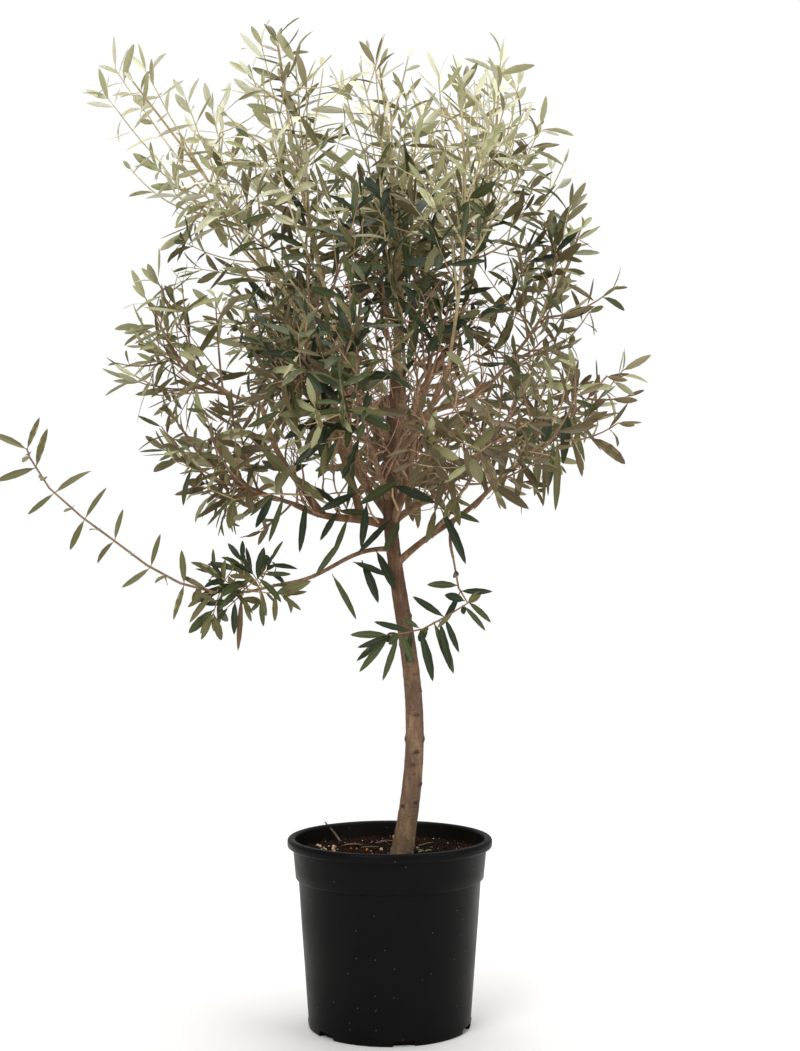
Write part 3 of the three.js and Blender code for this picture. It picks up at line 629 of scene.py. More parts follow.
class Crown:
    """The spaces of the masses, and the limbs that twigs and leaves keep clear of."""

    def __init__(self, limbs):
        shares = np.linspace(0, 1, 60)
        self.names = list(limbs)
        self.limb_points = np.concatenate([limb.at(shares) for limb in limbs.values()])
        self.limb_radii = np.concatenate([limb.radius(shares) for limb in limbs.values()])
        self.owner = np.repeat(np.arange(len(limbs)), len(shares))
        self.centres = np.array([mass.centre for mass in MASSES], float)
        self.halves = np.array([mass.half for mass in MASSES], float)
        # The fine growth leaves the outermost part of a wide mass to a few long shoots.
        fill = np.array([mass.fill for mass in MASSES])
        self.full_centres, self.full_halves = self.centres.copy(), self.halves.copy()
        self.full_centres[:, 0] -= np.sign(self.centres[:, 0]) * (1 - fill) * self.halves[:, 0]
        self.full_halves[:, 0] *= fill
        self.walls = [self._walls(i) for i in range(len(MASSES))]

    def _walls(self, i):
        """Direction to each neighbour, and the distance of the plane that parts the two."""
        towards = self.centres - self.centres[i]
        distance = np.linalg.norm(towards, axis=1)
        distance[i] = 1.0
        towards = towards / distance[:, None]
        with np.errstate(divide="ignore"):
            mine = 1 / np.linalg.norm(towards / self.halves[i], axis=1)
            theirs = 1 / np.linalg.norm(towards / self.halves, axis=1)
        mine[i] = theirs[i] = 1.0
        limit = distance * mine / (mine + theirs)
        limit[i] = np.inf
        return towards, limit

    def in_cell(self, i, points, margin):
        towards, limit = self.walls[i]
        return np.all((points - self.centres[i]) @ towards.T < limit - margin, axis=-1)

    def depth(self, i, points):
        """0 at the middle of a mass, 1 on its ellipsoid."""
        return np.linalg.norm((points - self.centres[i]) / self.halves[i], axis=-1)

    def full(self, i, points):
        """The same for the part of a mass that is filled with fine growth."""
        return np.linalg.norm((points - self.full_centres[i]) / self.full_halves[i], axis=-1)

    def clearance(self, points, without):
        points = np.atleast_2d(points)
        apart = np.linalg.norm(points[:, None] - self.limb_points[None], axis=2) - self.limb_radii
        apart[:, self.owner == self.names.index(without)] = np.inf
        return apart.min(axis=1)


def grow_shoot(crown, i, root, ahead, longest, rise, margin=1.5, swell=None):
    """A shoot leaves at a lean, rises to the light and stops at the edge of its space."""
    points, direction, here = [root], ahead.copy(), root.copy()
    for _ in range(math.ceil(longest / SHOOT_STEP)):
        direction = unit(direction + UP * rise * SHOOT_STEP / 20)
        here = here + direction * SHOOT_STEP
        outside = crown.depth(i, here) >= 1 if swell is None else crown.full(i, here) >= swell
        if outside or not crown.in_cell(i, here, margin):
            break
        if crown.clearance(here, MASSES[i].name)[0] < TWIG_CLEAR:
            break
        points.append(here)
    return np.array(points)


# Orders of twigs. Bare twigs and twigs that hang free belong to no mass.
STEM, SHOOT, SIDE_TWIG, BARE_TWIG = range(4)
NO_MASS = -1


@dataclass
class Twig:
    """A grown twig: its path, its radii from root to tip, and the leafless share of its foot.

    A reach twig is a long shoot that ends at the crown's outline.
    """

    path: np.ndarray
    radii: tuple
    order: int
    mass: int
    bare: float
    reach: bool = False


def airiness(place):
    """Below 1 in the dense middle of the crown, and more at its top and sides, where twigs are fewer."""
    top = np.interp(place[2], (900, 990, 1080, 1150, 1250), (0.0, -0.3, -0.2, 0.6, 2.0))
    side = np.interp(abs(place[0]), (130, 170, 330), (-0.3, 0.2, 1.4))
    return 1 + max(top, side)


def source_shoot(crown, i, stem, k):
    """The k-th shoot of a mass, just as it stands in the solids."""
    mass = MASSES[i]
    rng = seeded(mass.seed * 1000 + k)
    spread = (k + 0.4 * rng()) / mass.shoots
    share = mass.span[0] + (mass.span[1] - mass.span[0]) * spread
    ahead = stem.ahead(share)
    out = square_to(ahead, k * GOLDEN_ANGLE + 0.5 * rng())
    lean = math.radians(SHOOT_LEAN[0] + (SHOOT_LEAN[1] - SHOOT_LEAN[0]) * rng())
    ahead = ahead * math.cos(lean) + out * math.sin(lean)
    return grow_shoot(crown, i, stem.at(share), ahead, SHOOT_LONGEST, SHOOT_RISE)


def reach_shoot(stem, k, count, tip, leaf, rng):
    """A long shoot from the stem whose last leaves touch one of the crown's outermost points."""
    root = stem.at(0.1 + 0.5 * (k + 0.5) / count)
    tip = np.array(tip, float)
    end = tip - unit(tip - root) * leaf
    share = np.linspace(0, 1, 15)[:, None]
    line = root * (1 - share) + end * share - UP * 12 * np.sin(math.pi * share)
    return line + rng.normal(0, 1.2, line.shape) * np.sin(math.pi * share)


def grow_mass(crown, limbs, i, plan):
    """The stem, the solids' own shoots, more like them, and finer twigs on all of these."""
    mass = MASSES[i]
    rng = np.random.default_rng(mass.seed)
    limb = limbs[mass.name]
    stem = Path(limb.at(np.linspace(0, 1, 25)))
    if mass.path:
        stem = Path(mass.path)
    twigs = [Twig(stem.points, limb.radii, STEM, i, mass.bare)]
    if mass.sparse:
        return twigs + rosettes(stem, i, rng)
    extra = round(plan.extra_shoots * mass.leafy / airiness(mass.centre))
    shoots = [source_shoot(crown, i, stem, k) for k in range(mass.shoots)]
    for tip_number, tip in enumerate(mass.reach):
        path = reach_shoot(stem, tip_number, len(mass.reach), tip, plan.leaf_max * REACH_LEAF, rng)
        twigs.append(Twig(path, REACH_RADII, SHOOT, i, 0.3, True))
    for k in range(extra):
        share = 0.02 + 0.9 * ((k + rng.random()) / extra) ** 1.4
        ahead = stem.ahead(share)
        out = square_to(ahead, k * GOLDEN_ANGLE + 1.1 + 0.6 * rng.random())
        lean = math.radians(rng.uniform(*EXTRA_LEAN))
        ahead = ahead * math.cos(lean) + out * math.sin(lean)
        shoots.append(grow_shoot(crown, i, stem.at(share), ahead, rng.uniform(*EXTRA_LENGTH),
                                 rng.uniform(*EXTRA_RISE), -EXTRA_OVERLAP, EXTRA_SWELL))
    for path in shoots:
        if len(path) >= 4:
            twigs.append(Twig(path, SHOOT_RADII, SHOOT, i, 0.3))
    for parent in [twig for twig in twigs if twig.order == SHOOT]:
        twigs += side_twigs(crown, parent, rng, plan.side_gap)
    return twigs


def rosettes(stem, i, rng):
    """Tufts of short leafy shoots where an old cut made the long whip break."""
    if MASSES[i].name != "low_left_spray":
        return []
    made = []
    for k in range(18):
        root = stem.at(0.05 + 0.01 * k)
        turn = k * GOLDEN_ANGLE
        ahead = unit(np.array([math.cos(turn), rng.uniform(-0.5, 0.3), 0.45 + math.sin(turn)]))
        path = root + ahead * np.linspace(0, rng.uniform(14, 52), 5)[:, None]
        made.append(Twig(path, ROSETTE_RADII, SIDE_TWIG, i, 0.35))
    return made


# Boughs below the shaded middle, which carry no bare twigs.
UNDER_BOUGHS = ("low_left_bough", "low_right_bough", "low_front_bough", "hanging_bough")


def bare_twigs(crown, limbs, rng, gap):
    """Fine leafless twigs that fill the shaded middle of the crown, on every bough."""
    made = []
    for name in [name for name, *_ in BOUGHS if name not in UNDER_BOUGHS] + ["trunk"]:
        line = Path(limbs[name].at(np.linspace(0, 1, 25)))
        # They start a quarter of the way along a bough, and above the fork on the trunk.
        mark = line.length * (0.25 if name != "trunk" else 0.72)
        while mark < line.length:
            share = mark / line.length
            ahead = line.ahead(share)
            out = square_to(ahead, rng.uniform(0, 2 * math.pi))
            lean = math.radians(rng.uniform(*BARE_LEAN))
            start = unit(ahead * math.cos(lean) + out * math.sin(lean) + UP * 0.3)
            path = free_shoot(crown, line.at(share), start, rng.uniform(*BARE_LENGTH), rng, name)
            if len(path) >= 3:
                made.append(Twig(path, (rng.uniform(1.1, 2.4), 0.7), BARE_TWIG, NO_MASS, 1.0))
                made += forks(crown, made[-1], rng, name)
            mark += gap * rng.uniform(0.6, 1.4)
    return made


def forks(crown, parent, rng, name):
    """Up to three finer twigs on a bare one."""
    line, made = Path(parent.path), []
    for share in rng.uniform(0.25, 0.9, 3):
        ahead = line.ahead(share)
        lean = math.radians(rng.uniform(*FORK_LEAN))
        out = square_to(ahead, rng.uniform(0, 2 * math.pi))
        start = ahead * math.cos(lean) + out * math.sin(lean)
        path = free_shoot(crown, line.at(share), start, rng.uniform(*FORK_LENGTH), rng, name)
        if len(path) >= 3:
            made.append(Twig(path, FORK_RADII, BARE_TWIG, NO_MASS, 1.0))
    return made


def free_shoot(crown, root, ahead, longest, rng, name):
    """A twig that wanders from bud to bud inside the shade and stops short of any other limb."""
    points, direction, here = [root], ahead.copy(), root.copy()
    for _ in range(math.ceil(longest / SHOOT_STEP)):
        direction = unit(direction + UP * 0.06 + rng.normal(0, 0.19, 3))
        here = here + direction * SHOOT_STEP
        if crown.clearance(here, name)[0] < BARE_CLEAR or here[2] < root[2] - 4:
            break
        if math.hypot(here[0], here[1]) > SHADE_REACH:
            break
        points.append(here)
    return np.array(points)


def side_twigs(crown, parent, rng, gap):
    """Finer twigs in turn on both sides of a shoot."""
    line = Path(parent.path)
    made, mark, side = [], gap * 0.6, rng.uniform(0, math.pi)
    while mark < line.length * 0.78:
        share = mark / line.length
        ahead = line.ahead(share)
        out = square_to(ahead, side)
        lean = math.radians(rng.uniform(*SIDE_LEAN))
        start = ahead * math.cos(lean) + out * math.sin(lean)
        longest = rng.uniform(*SIDE_LENGTH) * (1.1 - 0.6 * share)
        path = grow_shoot(crown, parent.mass, line.at(share), start, longest,
                          rng.uniform(*SIDE_RISE), -SIDE_OVERLAP, SIDE_SWELL)
        if len(path) >= 3:
            made.append(Twig(path, SIDE_RADII, SIDE_TWIG, parent.mass, 0.12))
        mark += gap * airiness(line.at(share)) * rng.uniform(0.7, 1.3)
        side += math.pi * rng.uniform(0.75, 1.25)
    return made


# Twigs that hang free of the masses, as points from the bough outwards.
FREE_TWIGS = (
    ((150, -42, 748), (208, -54, 797), (230, -58, 844), (242, -54, 896)),
    ((-56, -12, 698), (-106, -36, 724), (-157, -42, 726), (-208, -46, 718), (-252, -48, 736)),
    ((12, -12, 702), (4, -52, 722), (4, -88, 736), (16, -98, 744)),
    ((62, -24, 704), (62, -50, 706), (68, -76, 706)),
    ((-14, -8, 686), (-24, -56, 698), (-30, -84, 714), (-42, -94, 726)),
)
DEEP, OLIVE, KHAKI, SUNLIT, PALE, UMBER, DRY = range(7)
# Leaves that hang free of the masses: root, tip, width and tone.
FREE_LEAVES = (
    ((92, -68, 603), (50, -72, 606), 11, OLIVE), ((100, -76, 583), (74, -84, 592), 13, DEEP),
    ((104, -76, 580), (121, -86, 595), 11, KHAKI), ((104, -74, 582), (136, -80, 556), 9, OLIVE),
    ((98, -76, 577), (128, -90, 546), 8, OLIVE), ((84, -80, 568), (64, -92, 549), 7, KHAKI),
    ((58, -84, 556), (88, -92, 488), 13, OLIVE), ((66, -84, 558), (82, -96, 494), 10, DEEP),
    ((40, -86, 546), (60, -96, 478), 13, DEEP), ((14, -88, 541), (32, -98, 504), 11, OLIVE),
    ((12, -88, 541), (-8, -98, 478), 9, OLIVE), ((0, -90, 538), (-40, -98, 490), 10, OLIVE),
    ((0, -90, 538), (-52, -94, 541), 11, OLIVE), ((40, -86, 547), (16, -94, 562), 8, OLIVE),
    # on the twig at the right
    ((236, -58, 842), (234, -68, 765), 14, DEEP), ((224, -58, 800), (225, -66, 702), 11, KHAKI),
    ((200, -54, 790), (196, -62, 722), 11, KHAKI), ((206, -54, 792), (209, -60, 708), 6, KHAKI),
    ((214, -58, 825), (206, -70, 795), 15, DEEP), ((220, -58, 800), (213, -66, 730), 9, OLIVE),
    ((240, -56, 838), (287, -60, 785), 6, KHAKI), ((240, -56, 834), (264, -64, 769), 8, KHAKI),
    ((242, -56, 852), (280, -60, 840), 9, OLIVE), ((213, -56, 867), (217, -64, 824), 9, KHAKI),
    # on the twig at the left
    ((-113, -37, 718), (-120, -44, 646), 10, DEEP), ((-106, -36, 738), (-64, -44, 708), 9, DEEP),
    ((-110, -38, 766), (-148, -46, 751), 11, DEEP), ((-70, -20, 704), (-94, -30, 663), 9, DEEP),
    ((-57, -14, 694), (-77, -30, 640), 8, OLIVE), ((-59, -20, 702), (-47, -30, 768), 8, OLIVE),
    ((-157, -42, 726), (-207, -50, 690), 8, OLIVE), ((-157, -42, 724), (-180, -50, 680), 11, DEEP),
    ((-158, -42, 724), (-188, -50, 696), 6, KHAKI), ((-142, -42, 724), (-162, -48, 660), 8, OLIVE),
    ((-214, -46, 718), (-246, -50, 683), 5, OLIVE), ((-209, -46, 716), (-214, -56, 679), 15, KHAKI),
    # on the whip and in front of the stem
    ((-102, -44, 612), (-66, -54, 662), 9, OLIVE), ((-78, -40, 618), (-42, -50, 558), 9, OLIVE),
    ((-50, -32, 634), (-3, -44, 618), 10, DEEP), ((-38, -30, 636), (-13, -42, 580), 13, DEEP),
    ((-198, -60, 590), (-201, -64, 514), 8, DRY), ((-19, -22, 650), (9, -38, 597), 13, DEEP),
    ((4, -22, 694), (-43, -40, 646), 9, DEEP),
    ((14, -22, 690), (-6, -44, 650), 13, OLIVE), ((-24, -56, 698), (-66, -66, 704), 10, OLIVE),
    ((68, -76, 706), (104, -92, 634), 13, DEEP), ((68, -76, 706), (120, -88, 690), 10, OLIVE),
    ((4, -88, 736), (60, -106, 716), 15, DEEP), ((16, -98, 744), (-40, -108, 712), 13, OLIVE),
    ((-30, -84, 714), (-36, -96, 654), 11, DEEP), ((-42, -94, 726), (-92, -104, 704), 12, DEEP),
    ((-42, -94, 726), (-64, -104, 760), 10, KHAKI), ((62, -50, 706), (50, -66, 660), 10, KHAKI),
)


# One leaf. A spare leaf stays where others are dropped, outside its mass and in the open middle.
LEAF_ROW = np.dtype([("root", "f8", 3), ("along", "f8", 3), ("normal", "f8", 3), ("length", "f8"),
                     ("width", "f8"), ("curl", "f8"), ("twist", "f8"), ("fold", "f8"), ("tone", "i4"),
                     ("mass", "i4"), ("spare", "i4")])
# Tones of leaves, from painted shade to painted sunlight, then brown and dead: upper side, underside and
# midrib.
TONES = (
    ("deep", "#28321d", "#625b3e", "#435036"),
    ("olive", "#444b2a", "#7f7656", "#60683f"),
    ("khaki", "#66623e", "#989070", "#7c7850"),
    ("sunlit", "#9a9a70", "#bab892", "#acab83"),
    ("pale", "#d3d1b0", "#e6e5cd", "#dddcbf"),
    ("umber", "#5c5036", "#7b6c4f", "#76684a"),
    ("dry", "#6a543c", "#8c755a", "#80694d"),
)
# Roughness and gloss of the waxy upper side, the matt underside and the midrib.
LEAF_FINISHES = ((0.46, 0.3), (0.75, 0.12), (0.6, 0.2))


def spray_tone(place, rng):
    """Index of the tone of a spray: darkest in the middle, paler outwards and on the sunny top."""
    x, y, height = place
    # The tone paints light and shade: sprays low and near the axis are shaded, high and outer ones are lit.
    light = np.interp(height, (560, 700, 900, 980, 1070, 1200, 1340), (0.2, 1.2, 1.0, 0.85, 1.1, 2.9, 5.2))
    light += np.interp(math.hypot(x, 0.7 * y), (90, 290), (-0.5, 1.4))
    if rng.random() < 0.003 and height < 1050:
        return DRY
    # Brown leaves hang low in the crown, and more of them at the right.
    if rng.random() < np.interp(height, (850, 960), (1, 0)) * np.interp(x, (-50, 120), (0.25, 0.6)):
        return UMBER
    # The sunny top has no dark leaves, and the shaded right below has no pale ones.
    darkest = KHAKI if height > 1250 else DEEP
    palest = PALE if height > 1050 else SUNLIT if height > 880 or x < 0 else KHAKI
    return int(np.clip(round(light + rng.normal(0, 0.9)), darkest, palest))


def leaf_tone(tone, rng):
    """Two leaves in five are a step darker or lighter than their spray."""
    if tone >= UMBER or rng.random() > 0.4:
        return tone
    return int(np.clip(tone + rng.choice((-1, -1, 1)), DEEP, max(tone, SUNLIT)))


def dress(twig, rng, plan):
    """Opposite pairs of leaves from a twig's tip back to its bare foot, each pair square to the last."""
    line = Path(twig.path)
    outward = unit(line.points[-1] * (1.0, 1.0, 0.0))
    rows, turn, back, n = [], rng.uniform(0, math.pi), rng.uniform(0.5, 3.0), 0
    sparse = MASSES[twig.mass].sparse
    whip = sparse and twig.order == STEM
    if whip:
        turn = math.pi / 2
    height = line.points[-1][2]
    tone = spray_tone(line.points[-1], rng)
    droop = np.interp(height, (560, 800, 1100, 1300), (0.5, 0.4, 0.15, -0.05)) + rng.normal(0, 0.12)
    # Pairs stand further apart on the quick growth in the light.
    quick = 0.75 if twig.reach else max(0.8, airiness(line.points[-1])) ** 0.5
    gap = WHIP_GAP if whip else TUFT_GAP if sparse else plan.leaf_gap * quick
    # So many pairs at the tip hold the outline, and are spared where others are dropped.
    spared = 5 if twig.reach else 3 if twig.order == STEM else 0
    while back < line.length * (1 - twig.bare):
        share = 1 - back / line.length
        ahead = line.ahead(share)
        # The youngest pair, at the tip, is the shortest and the least open.
        young = min(1.0, 0.78 + 0.1 * n if twig.reach else 0.55 + 0.2 * n)
        openness = math.radians(min(74, 26 + 14 * n) + rng.normal(0, 9))
        out = square_to(ahead, turn)
        for side in (out, -out):
            spread = openness * rng.uniform(0.8, 1.2)
            along = ahead * math.cos(spread) + side * math.sin(spread)
            along = unit(along + UP * -droop * rng.uniform(0.3, 1.3) + rng.normal(0, 0.16, 3))
            normal = ahead * math.sin(spread) - side * math.cos(spread) + UP * 0.15 + outward * 0.6
            normal = normal + rng.normal(0, 0.35, 3)
            normal = unit(normal - along * (normal @ along))
            length = rng.uniform(plan.leaf_min, plan.leaf_max) * young
            length *= np.interp(height, (1100, 1300), (1, 0.88))
            breadth = rng.uniform(*LEAF_BREADTH)
            if whip:
                lengths, breadths = WHIP_PAIRS[n % 2]
                length, breadth = rng.uniform(*lengths), rng.uniform(*breadths)
            if sparse:
                normal = unit(normal * 0.35 + np.array([0.15, -1.0, 0.3]))
                normal = unit(normal - along * (normal @ along))
            row = np.zeros((), LEAF_ROW)
            row["root"], row["along"], row["normal"] = line.at(share), along, normal
            row["length"], row["width"] = length, length * breadth
            row["curl"], row["twist"] = rng.normal(0.25, 0.35), rng.normal(0, 0.3)
            row["fold"], row["tone"] = rng.uniform(0.05, 0.34), leaf_tone(tone, rng)
            # The low whips take no tone above khaki, so none of them is painted sunlit.
            if sparse:
                row["tone"] = min(row["tone"], KHAKI)
            row["mass"], row["spare"] = twig.mass, int(sparse or n < spared)
            rows.append(row)
        back += gap * (0.45 + 0.28 * min(n, 3)) * rng.uniform(0.8, 1.2)
        turn += math.pi / 2
        n += 1
    return rows


def keep_leaves(crown, rows, plan):
    """Drops leaves that leave the plant's box, touch a limb, crowd another or fill the open middle."""
    rng = np.random.default_rng(5)
    tips = rows["root"] + rows["along"] * rows["length"][:, None]
    middles = rows["root"] + rows["along"] * rows["length"][:, None] * 0.55
    low, high = np.array(CAD_BOX[0]) / MM, np.array(CAD_BOX[1]) / MM
    kept = np.all((tips > low + 1) & (tips < high - 1), axis=1)
    for i, mass in enumerate(MASSES):
        own = np.flatnonzero((rows["mass"] == i) & kept)
        kept[own] &= crown.clearance(middles[own], mass.name) > LEAF_CLEAR
        kept[own] &= crown.clearance(tips[own], mass.name) > LEAF_TIP_CLEAR
        inside = crown.in_cell(i, tips[own], -LEAF_OVERLAP) & (crown.depth(i, tips[own]) < LEAF_SWELL)
        kept[own] &= inside | (rows["spare"][own] == 1)
    # The middle is twiggy and open. The sunny top and the outermost left and right are thinner too.
    hollow = np.linalg.norm((middles - MIDDLE_CENTRE) / MIDDLE_HALF, axis=1)
    chance = np.interp(hollow, (0.4, 1.0), (plan.middle_share, 1.0))
    chance *= np.interp(middles[:, 2], (1050, 1200, 1300), (1.0, 0.5, 0.3))
    chance *= np.interp(middles[:, 0], (-300, -220, 60, 110), (0.7, 1.0, 1.0, 0.85))
    kept &= (rng.random(len(rows)) < chance) | (rows["spare"] == 1)
    taken, cell = {}, plan.leaf_apart
    for n in np.flatnonzero(kept):
        key = tuple((middles[n] // cell).astype(int))
        near = [m for dx in (-1, 0, 1) for dy in (-1, 0, 1) for dz in (-1, 0, 1)
                for m in taken.get((key[0] + dx, key[1] + dy, key[2] + dz), ())]
        if near and np.min(np.linalg.norm(middles[near] - middles[n], axis=1)) < cell:
            kept[n] = False
        else:
            taken.setdefault(key, []).append(n)
    return rows[kept]


@dataclass(frozen=True)
class GrowthPlan:
    """The crown's settings, with lengths in millimetres."""

    extra_shoots: int
    side_gap: float
    leaf_gap: float
    leaf_apart: float
    leaf_min: float
    leaf_max: float
    middle_share: float
    bare_gap: float


@lru_cache(maxsize=1)
def grown(plan):
    """All twigs and all leaves of the crown."""
    limbs = make_limbs()
    crown = Crown(limbs)
    rng = np.random.default_rng(3)
    twigs, rows = [], []
    for i in range(len(MASSES)):
        twigs += grow_mass(crown, limbs, i, plan)
    for twig in twigs:
        rows += dress(twig, rng, plan)
    twigs += bare_twigs(crown, limbs, rng, plan.bare_gap)
    twigs += [Twig(np.array(points, float), FREE_RADII, SIDE_TWIG, NO_MASS, 1.0)
              for points in FREE_TWIGS]
    leaves = keep_leaves(crown, np.array(rows, LEAF_ROW), plan)
    return limbs, twigs, leaves


def current_plan():
    """The plan that the scene's settings give."""
    chosen = bpy.context.scene.olive_crown
    return GrowthPlan(chosen.extra_shoots, chosen.side_gap / MM, chosen.leaf_gap / MM,
                      chosen.leaf_apart / MM, chosen.leaf_min / MM, chosen.leaf_max / MM,
                      chosen.middle_share, chosen.bare_gap / MM)


# ---------------------------------------------------------------- leaves as meshes

# Stations along a leaf: share of its length, and half width as a share of the widest.
LEAF_STATIONS = ((0.0, 0.1), (0.08, 0.17), (0.24, 0.7), (0.5, 1.0), (0.75, 0.82), (0.92, 0.4))
# Round a leaf: left margin, both top edges of the midrib, right margin, both lower edges of the midrib.
LEAF_RING = 6
LEAF_CORNERS = LEAF_RING * len(LEAF_STATIONS) + 1
LEAF_THICK = 0.35
BLADE, BACK, MIDRIB = range(3)
ROUND_THE_LEAF = (BLADE, MIDRIB, BLADE, BACK, BACK, BACK)


def leaf_faces():
    """Faces of one leaf, and the material of each."""
    faces = []
    for s in range(len(LEAF_STATIONS) - 1):
        low, high = s * LEAF_RING, (s + 1) * LEAF_RING
        for k in range(LEAF_RING):
            after = (k + 1) % LEAF_RING
            faces.append((low + k, low + after, high + after, high + k))
    last, tip = (len(LEAF_STATIONS) - 1) * LEAF_RING, LEAF_CORNERS - 1
    for k in range(LEAF_RING):
        faces.append((last + k, last + (k + 1) % LEAF_RING, tip))
    kinds = list(ROUND_THE_LEAF) * len(LEAF_STATIONS) + [BACK]
    faces.append(tuple(reversed(range(LEAF_RING))))
    return faces, kinds


def leaf_corners(rows):
    """Corners of all the leaves at once, bent by curl, turned by twist and folded along the midrib."""
    along, normal = rows["along"], rows["normal"]
    across = np.cross(normal, along)
    corners = np.empty((len(rows), LEAF_CORNERS, 3))
    curl = np.where(np.abs(rows["curl"]) < 1e-3, 1e-3, rows["curl"])
    for s, (share, width) in enumerate((*LEAF_STATIONS, (1.0, 0.0))):
        bend, turn = curl * share, rows["twist"] * share
        forward = rows["length"] * np.sin(bend) / curl
        drop = -rows["length"] * (1 - np.cos(bend)) / curl
        middle = rows["root"] + along * forward[:, None] + normal * drop[:, None]
        if share == 1.0:
            corners[:, -1] = middle
            continue
        up = normal * np.cos(bend)[:, None] + along * np.sin(bend)[:, None]
        side = across * np.cos(turn)[:, None] + up * np.sin(turn)[:, None]
        up = up * np.cos(turn)[:, None] - across * np.sin(turn)[:, None]
        half = (rows["width"] * width / 2)[:, None]
        rib = np.minimum(half * 0.4, 0.5 - 0.3 * share)
        lift = half * rows["fold"][:, None]
        ring = ((half, lift), (rib, LEAF_THICK / 2), (-rib, LEAF_THICK / 2),
                (-half, lift), (-rib, -LEAF_THICK / 2), (rib, -LEAF_THICK / 2))
        for k, (out, rise) in enumerate(ring):
            corners[:, s * LEAF_RING + k] = middle + side * out + up * rise
    return corners


def leaf_margins(ends):
    """True for edges that run along a leaf's margin, where its two sides meet in a crease."""
    place_in_leaf = ends % LEAF_CORNERS
    tip = place_in_leaf == LEAF_CORNERS - 1
    left = (place_in_leaf % LEAF_RING == 0) & ~tip
    right = (place_in_leaf % LEAF_RING == LEAF_RING // 2) & ~tip
    return np.all(left | tip, axis=1) | np.all(right | tip, axis=1)


def leaves_object(name, rows, materials):
    """One mesh of leaves. The materials are those of blade, back and midrib."""
    faces, kinds = leaf_faces()
    all_faces = []
    for n in range(len(rows)):
        shift = n * LEAF_CORNERS
        all_faces += [tuple(v + shift for v in face) for face in faces]
    return show(name, leaf_corners(rows).reshape(-1, 3), all_faces, materials, kinds * len(rows),
                sharp=leaf_margins)


# ---------------------------------------------------------------- tubes that follow paths


def tube_tree():
    """Turns edges with a thickness into closed tubes, and raises a relief on their skin."""
    tree, given, out = geometry_nodes("tubes_along_paths", (
        ("Sides", "NodeSocketInt"), ("Relief", "NodeSocketFloat"), ("Grain", "NodeSocketFloat"),
        ("Material", "NodeSocketMaterial")))
    thickness = node(tree, "GeometryNodeInputNamedAttribute", {"Name": "thickness"}, data_type="FLOAT")
    curve = node(tree, "GeometryNodeMeshToCurve", {"Mesh": given["Geometry"]})
    ring = node(tree, "GeometryNodeCurvePrimitiveCircle", {"Resolution": given["Sides"], "Radius": 1.0})
    tube = node(tree, "GeometryNodeCurveToMesh", {
        "Curve": curve.outputs["Curve"], "Profile Curve": ring.outputs["Curve"],
        "Scale": thickness.outputs["Attribute"], "Fill Caps": True})
    position = node(tree, "GeometryNodeInputPosition")
    stretched = node(tree, "ShaderNodeVectorMath", {0: position.outputs["Position"], 1: (1.0, 1.0, 0.3)},
                     operation="MULTIPLY")
    grain = node(tree, "ShaderNodeTexNoise", {"Vector": stretched.outputs["Vector"],
                                              "Scale": given["Grain"], "Detail": 4.0, "Roughness": 0.6})
    centred = node(tree, "ShaderNodeMath", {0: grain.outputs["Fac"], 1: 0.5}, operation="SUBTRACT")
    height = node(tree, "ShaderNodeMath", {0: centred.outputs["Value"], 1: given["Relief"]},
                  operation="MULTIPLY")
    scaled = node(tree, "ShaderNodeMath", {0: height.outputs["Value"],
                                           1: thickness.outputs["Attribute"]}, operation="MULTIPLY")
    normal = node(tree, "GeometryNodeInputNormal")
    offset = node(tree, "ShaderNodeVectorMath", {0: normal.outputs["Normal"],
                                                 "Scale": scaled.outputs["Value"]}, operation="SCALE")
    moved = node(tree, "GeometryNodeSetPosition", {"Geometry": tube.outputs["Mesh"],
                                                   "Offset": offset.outputs["Vector"]})
    return end_tree(tree, moved.outputs["Geometry"], given, out)


def tubes(name, paths, sides, relief, grain, material):
    """One mesh of closed tubes. Each path is its points and its radii in millimetres.

    relief is the height of the skin's relief as a share of the girth, and grain its waves per metre.
    """
    vertices, edges, thick = [], [], []
    for points, radii in paths:
        first = len(vertices)
        vertices += (np.asarray(points) * MM).tolist()
        thick += (np.asarray(radii) * MM).tolist()
        edges += [(first + k, first + k + 1) for k in range(len(points) - 1)]
    mesh = bpy.data.meshes.new(name + "_paths")
    mesh.from_pydata(vertices, edges, [])
    mesh.attributes.new("thickness", "FLOAT", "POINT").data.foreach_set("value", thick)
    host = run_nodes(new_object(name + "_paths", mesh), tube_tree(), {
        "Sides": sides, "Relief": relief, "Grain": grain, "Material": material})
    made = plain(host, name)
    set_smooth(made.data)
    return made


def raise_scars(mesh):
    """Swells the trunk's skin where a leaf or a side shoot once stood, with a dark dimple in the middle."""
    count = len(mesh.vertices)
    spots = np.empty(3 * count)
    mesh.vertices.foreach_get("co", spots)
    spots = spots.reshape(-1, 3) / MM
    dark = np.zeros(count)
    for height, angle, width in SCARS:
        share = (height - TRUNK.root[2]) / (TRUNK.tip[2] - TRUNK.root[2])
        centre, girth = TRUNK.at(share), float(TRUNK.radius(share))
        out = np.array([math.sin(math.radians(angle)), -math.cos(math.radians(angle)), 0])
        away = (spots - (centre + out * girth)) / (width * 0.5, width * 0.5, width * 0.3)
        near = np.linalg.norm(away, axis=1)
        swell = SCAR_SWELL * np.exp(-(near**2)) - SCAR_DIMPLE * np.exp(-((near / 0.4) ** 2))
        spots += out * (swell * (near < 3))[:, None]
        dark = np.maximum(dark, 0.95 * np.exp(-(((near - 0.35) / 0.4) ** 2)))
    mesh.vertices.foreach_set("co", (spots * MM).ravel())
    mesh.attributes.new("scar", "FLOAT", "POINT").data.foreach_set("value", dark)
    mesh.update()


# ---------------------------------------------------------------- scattered pieces


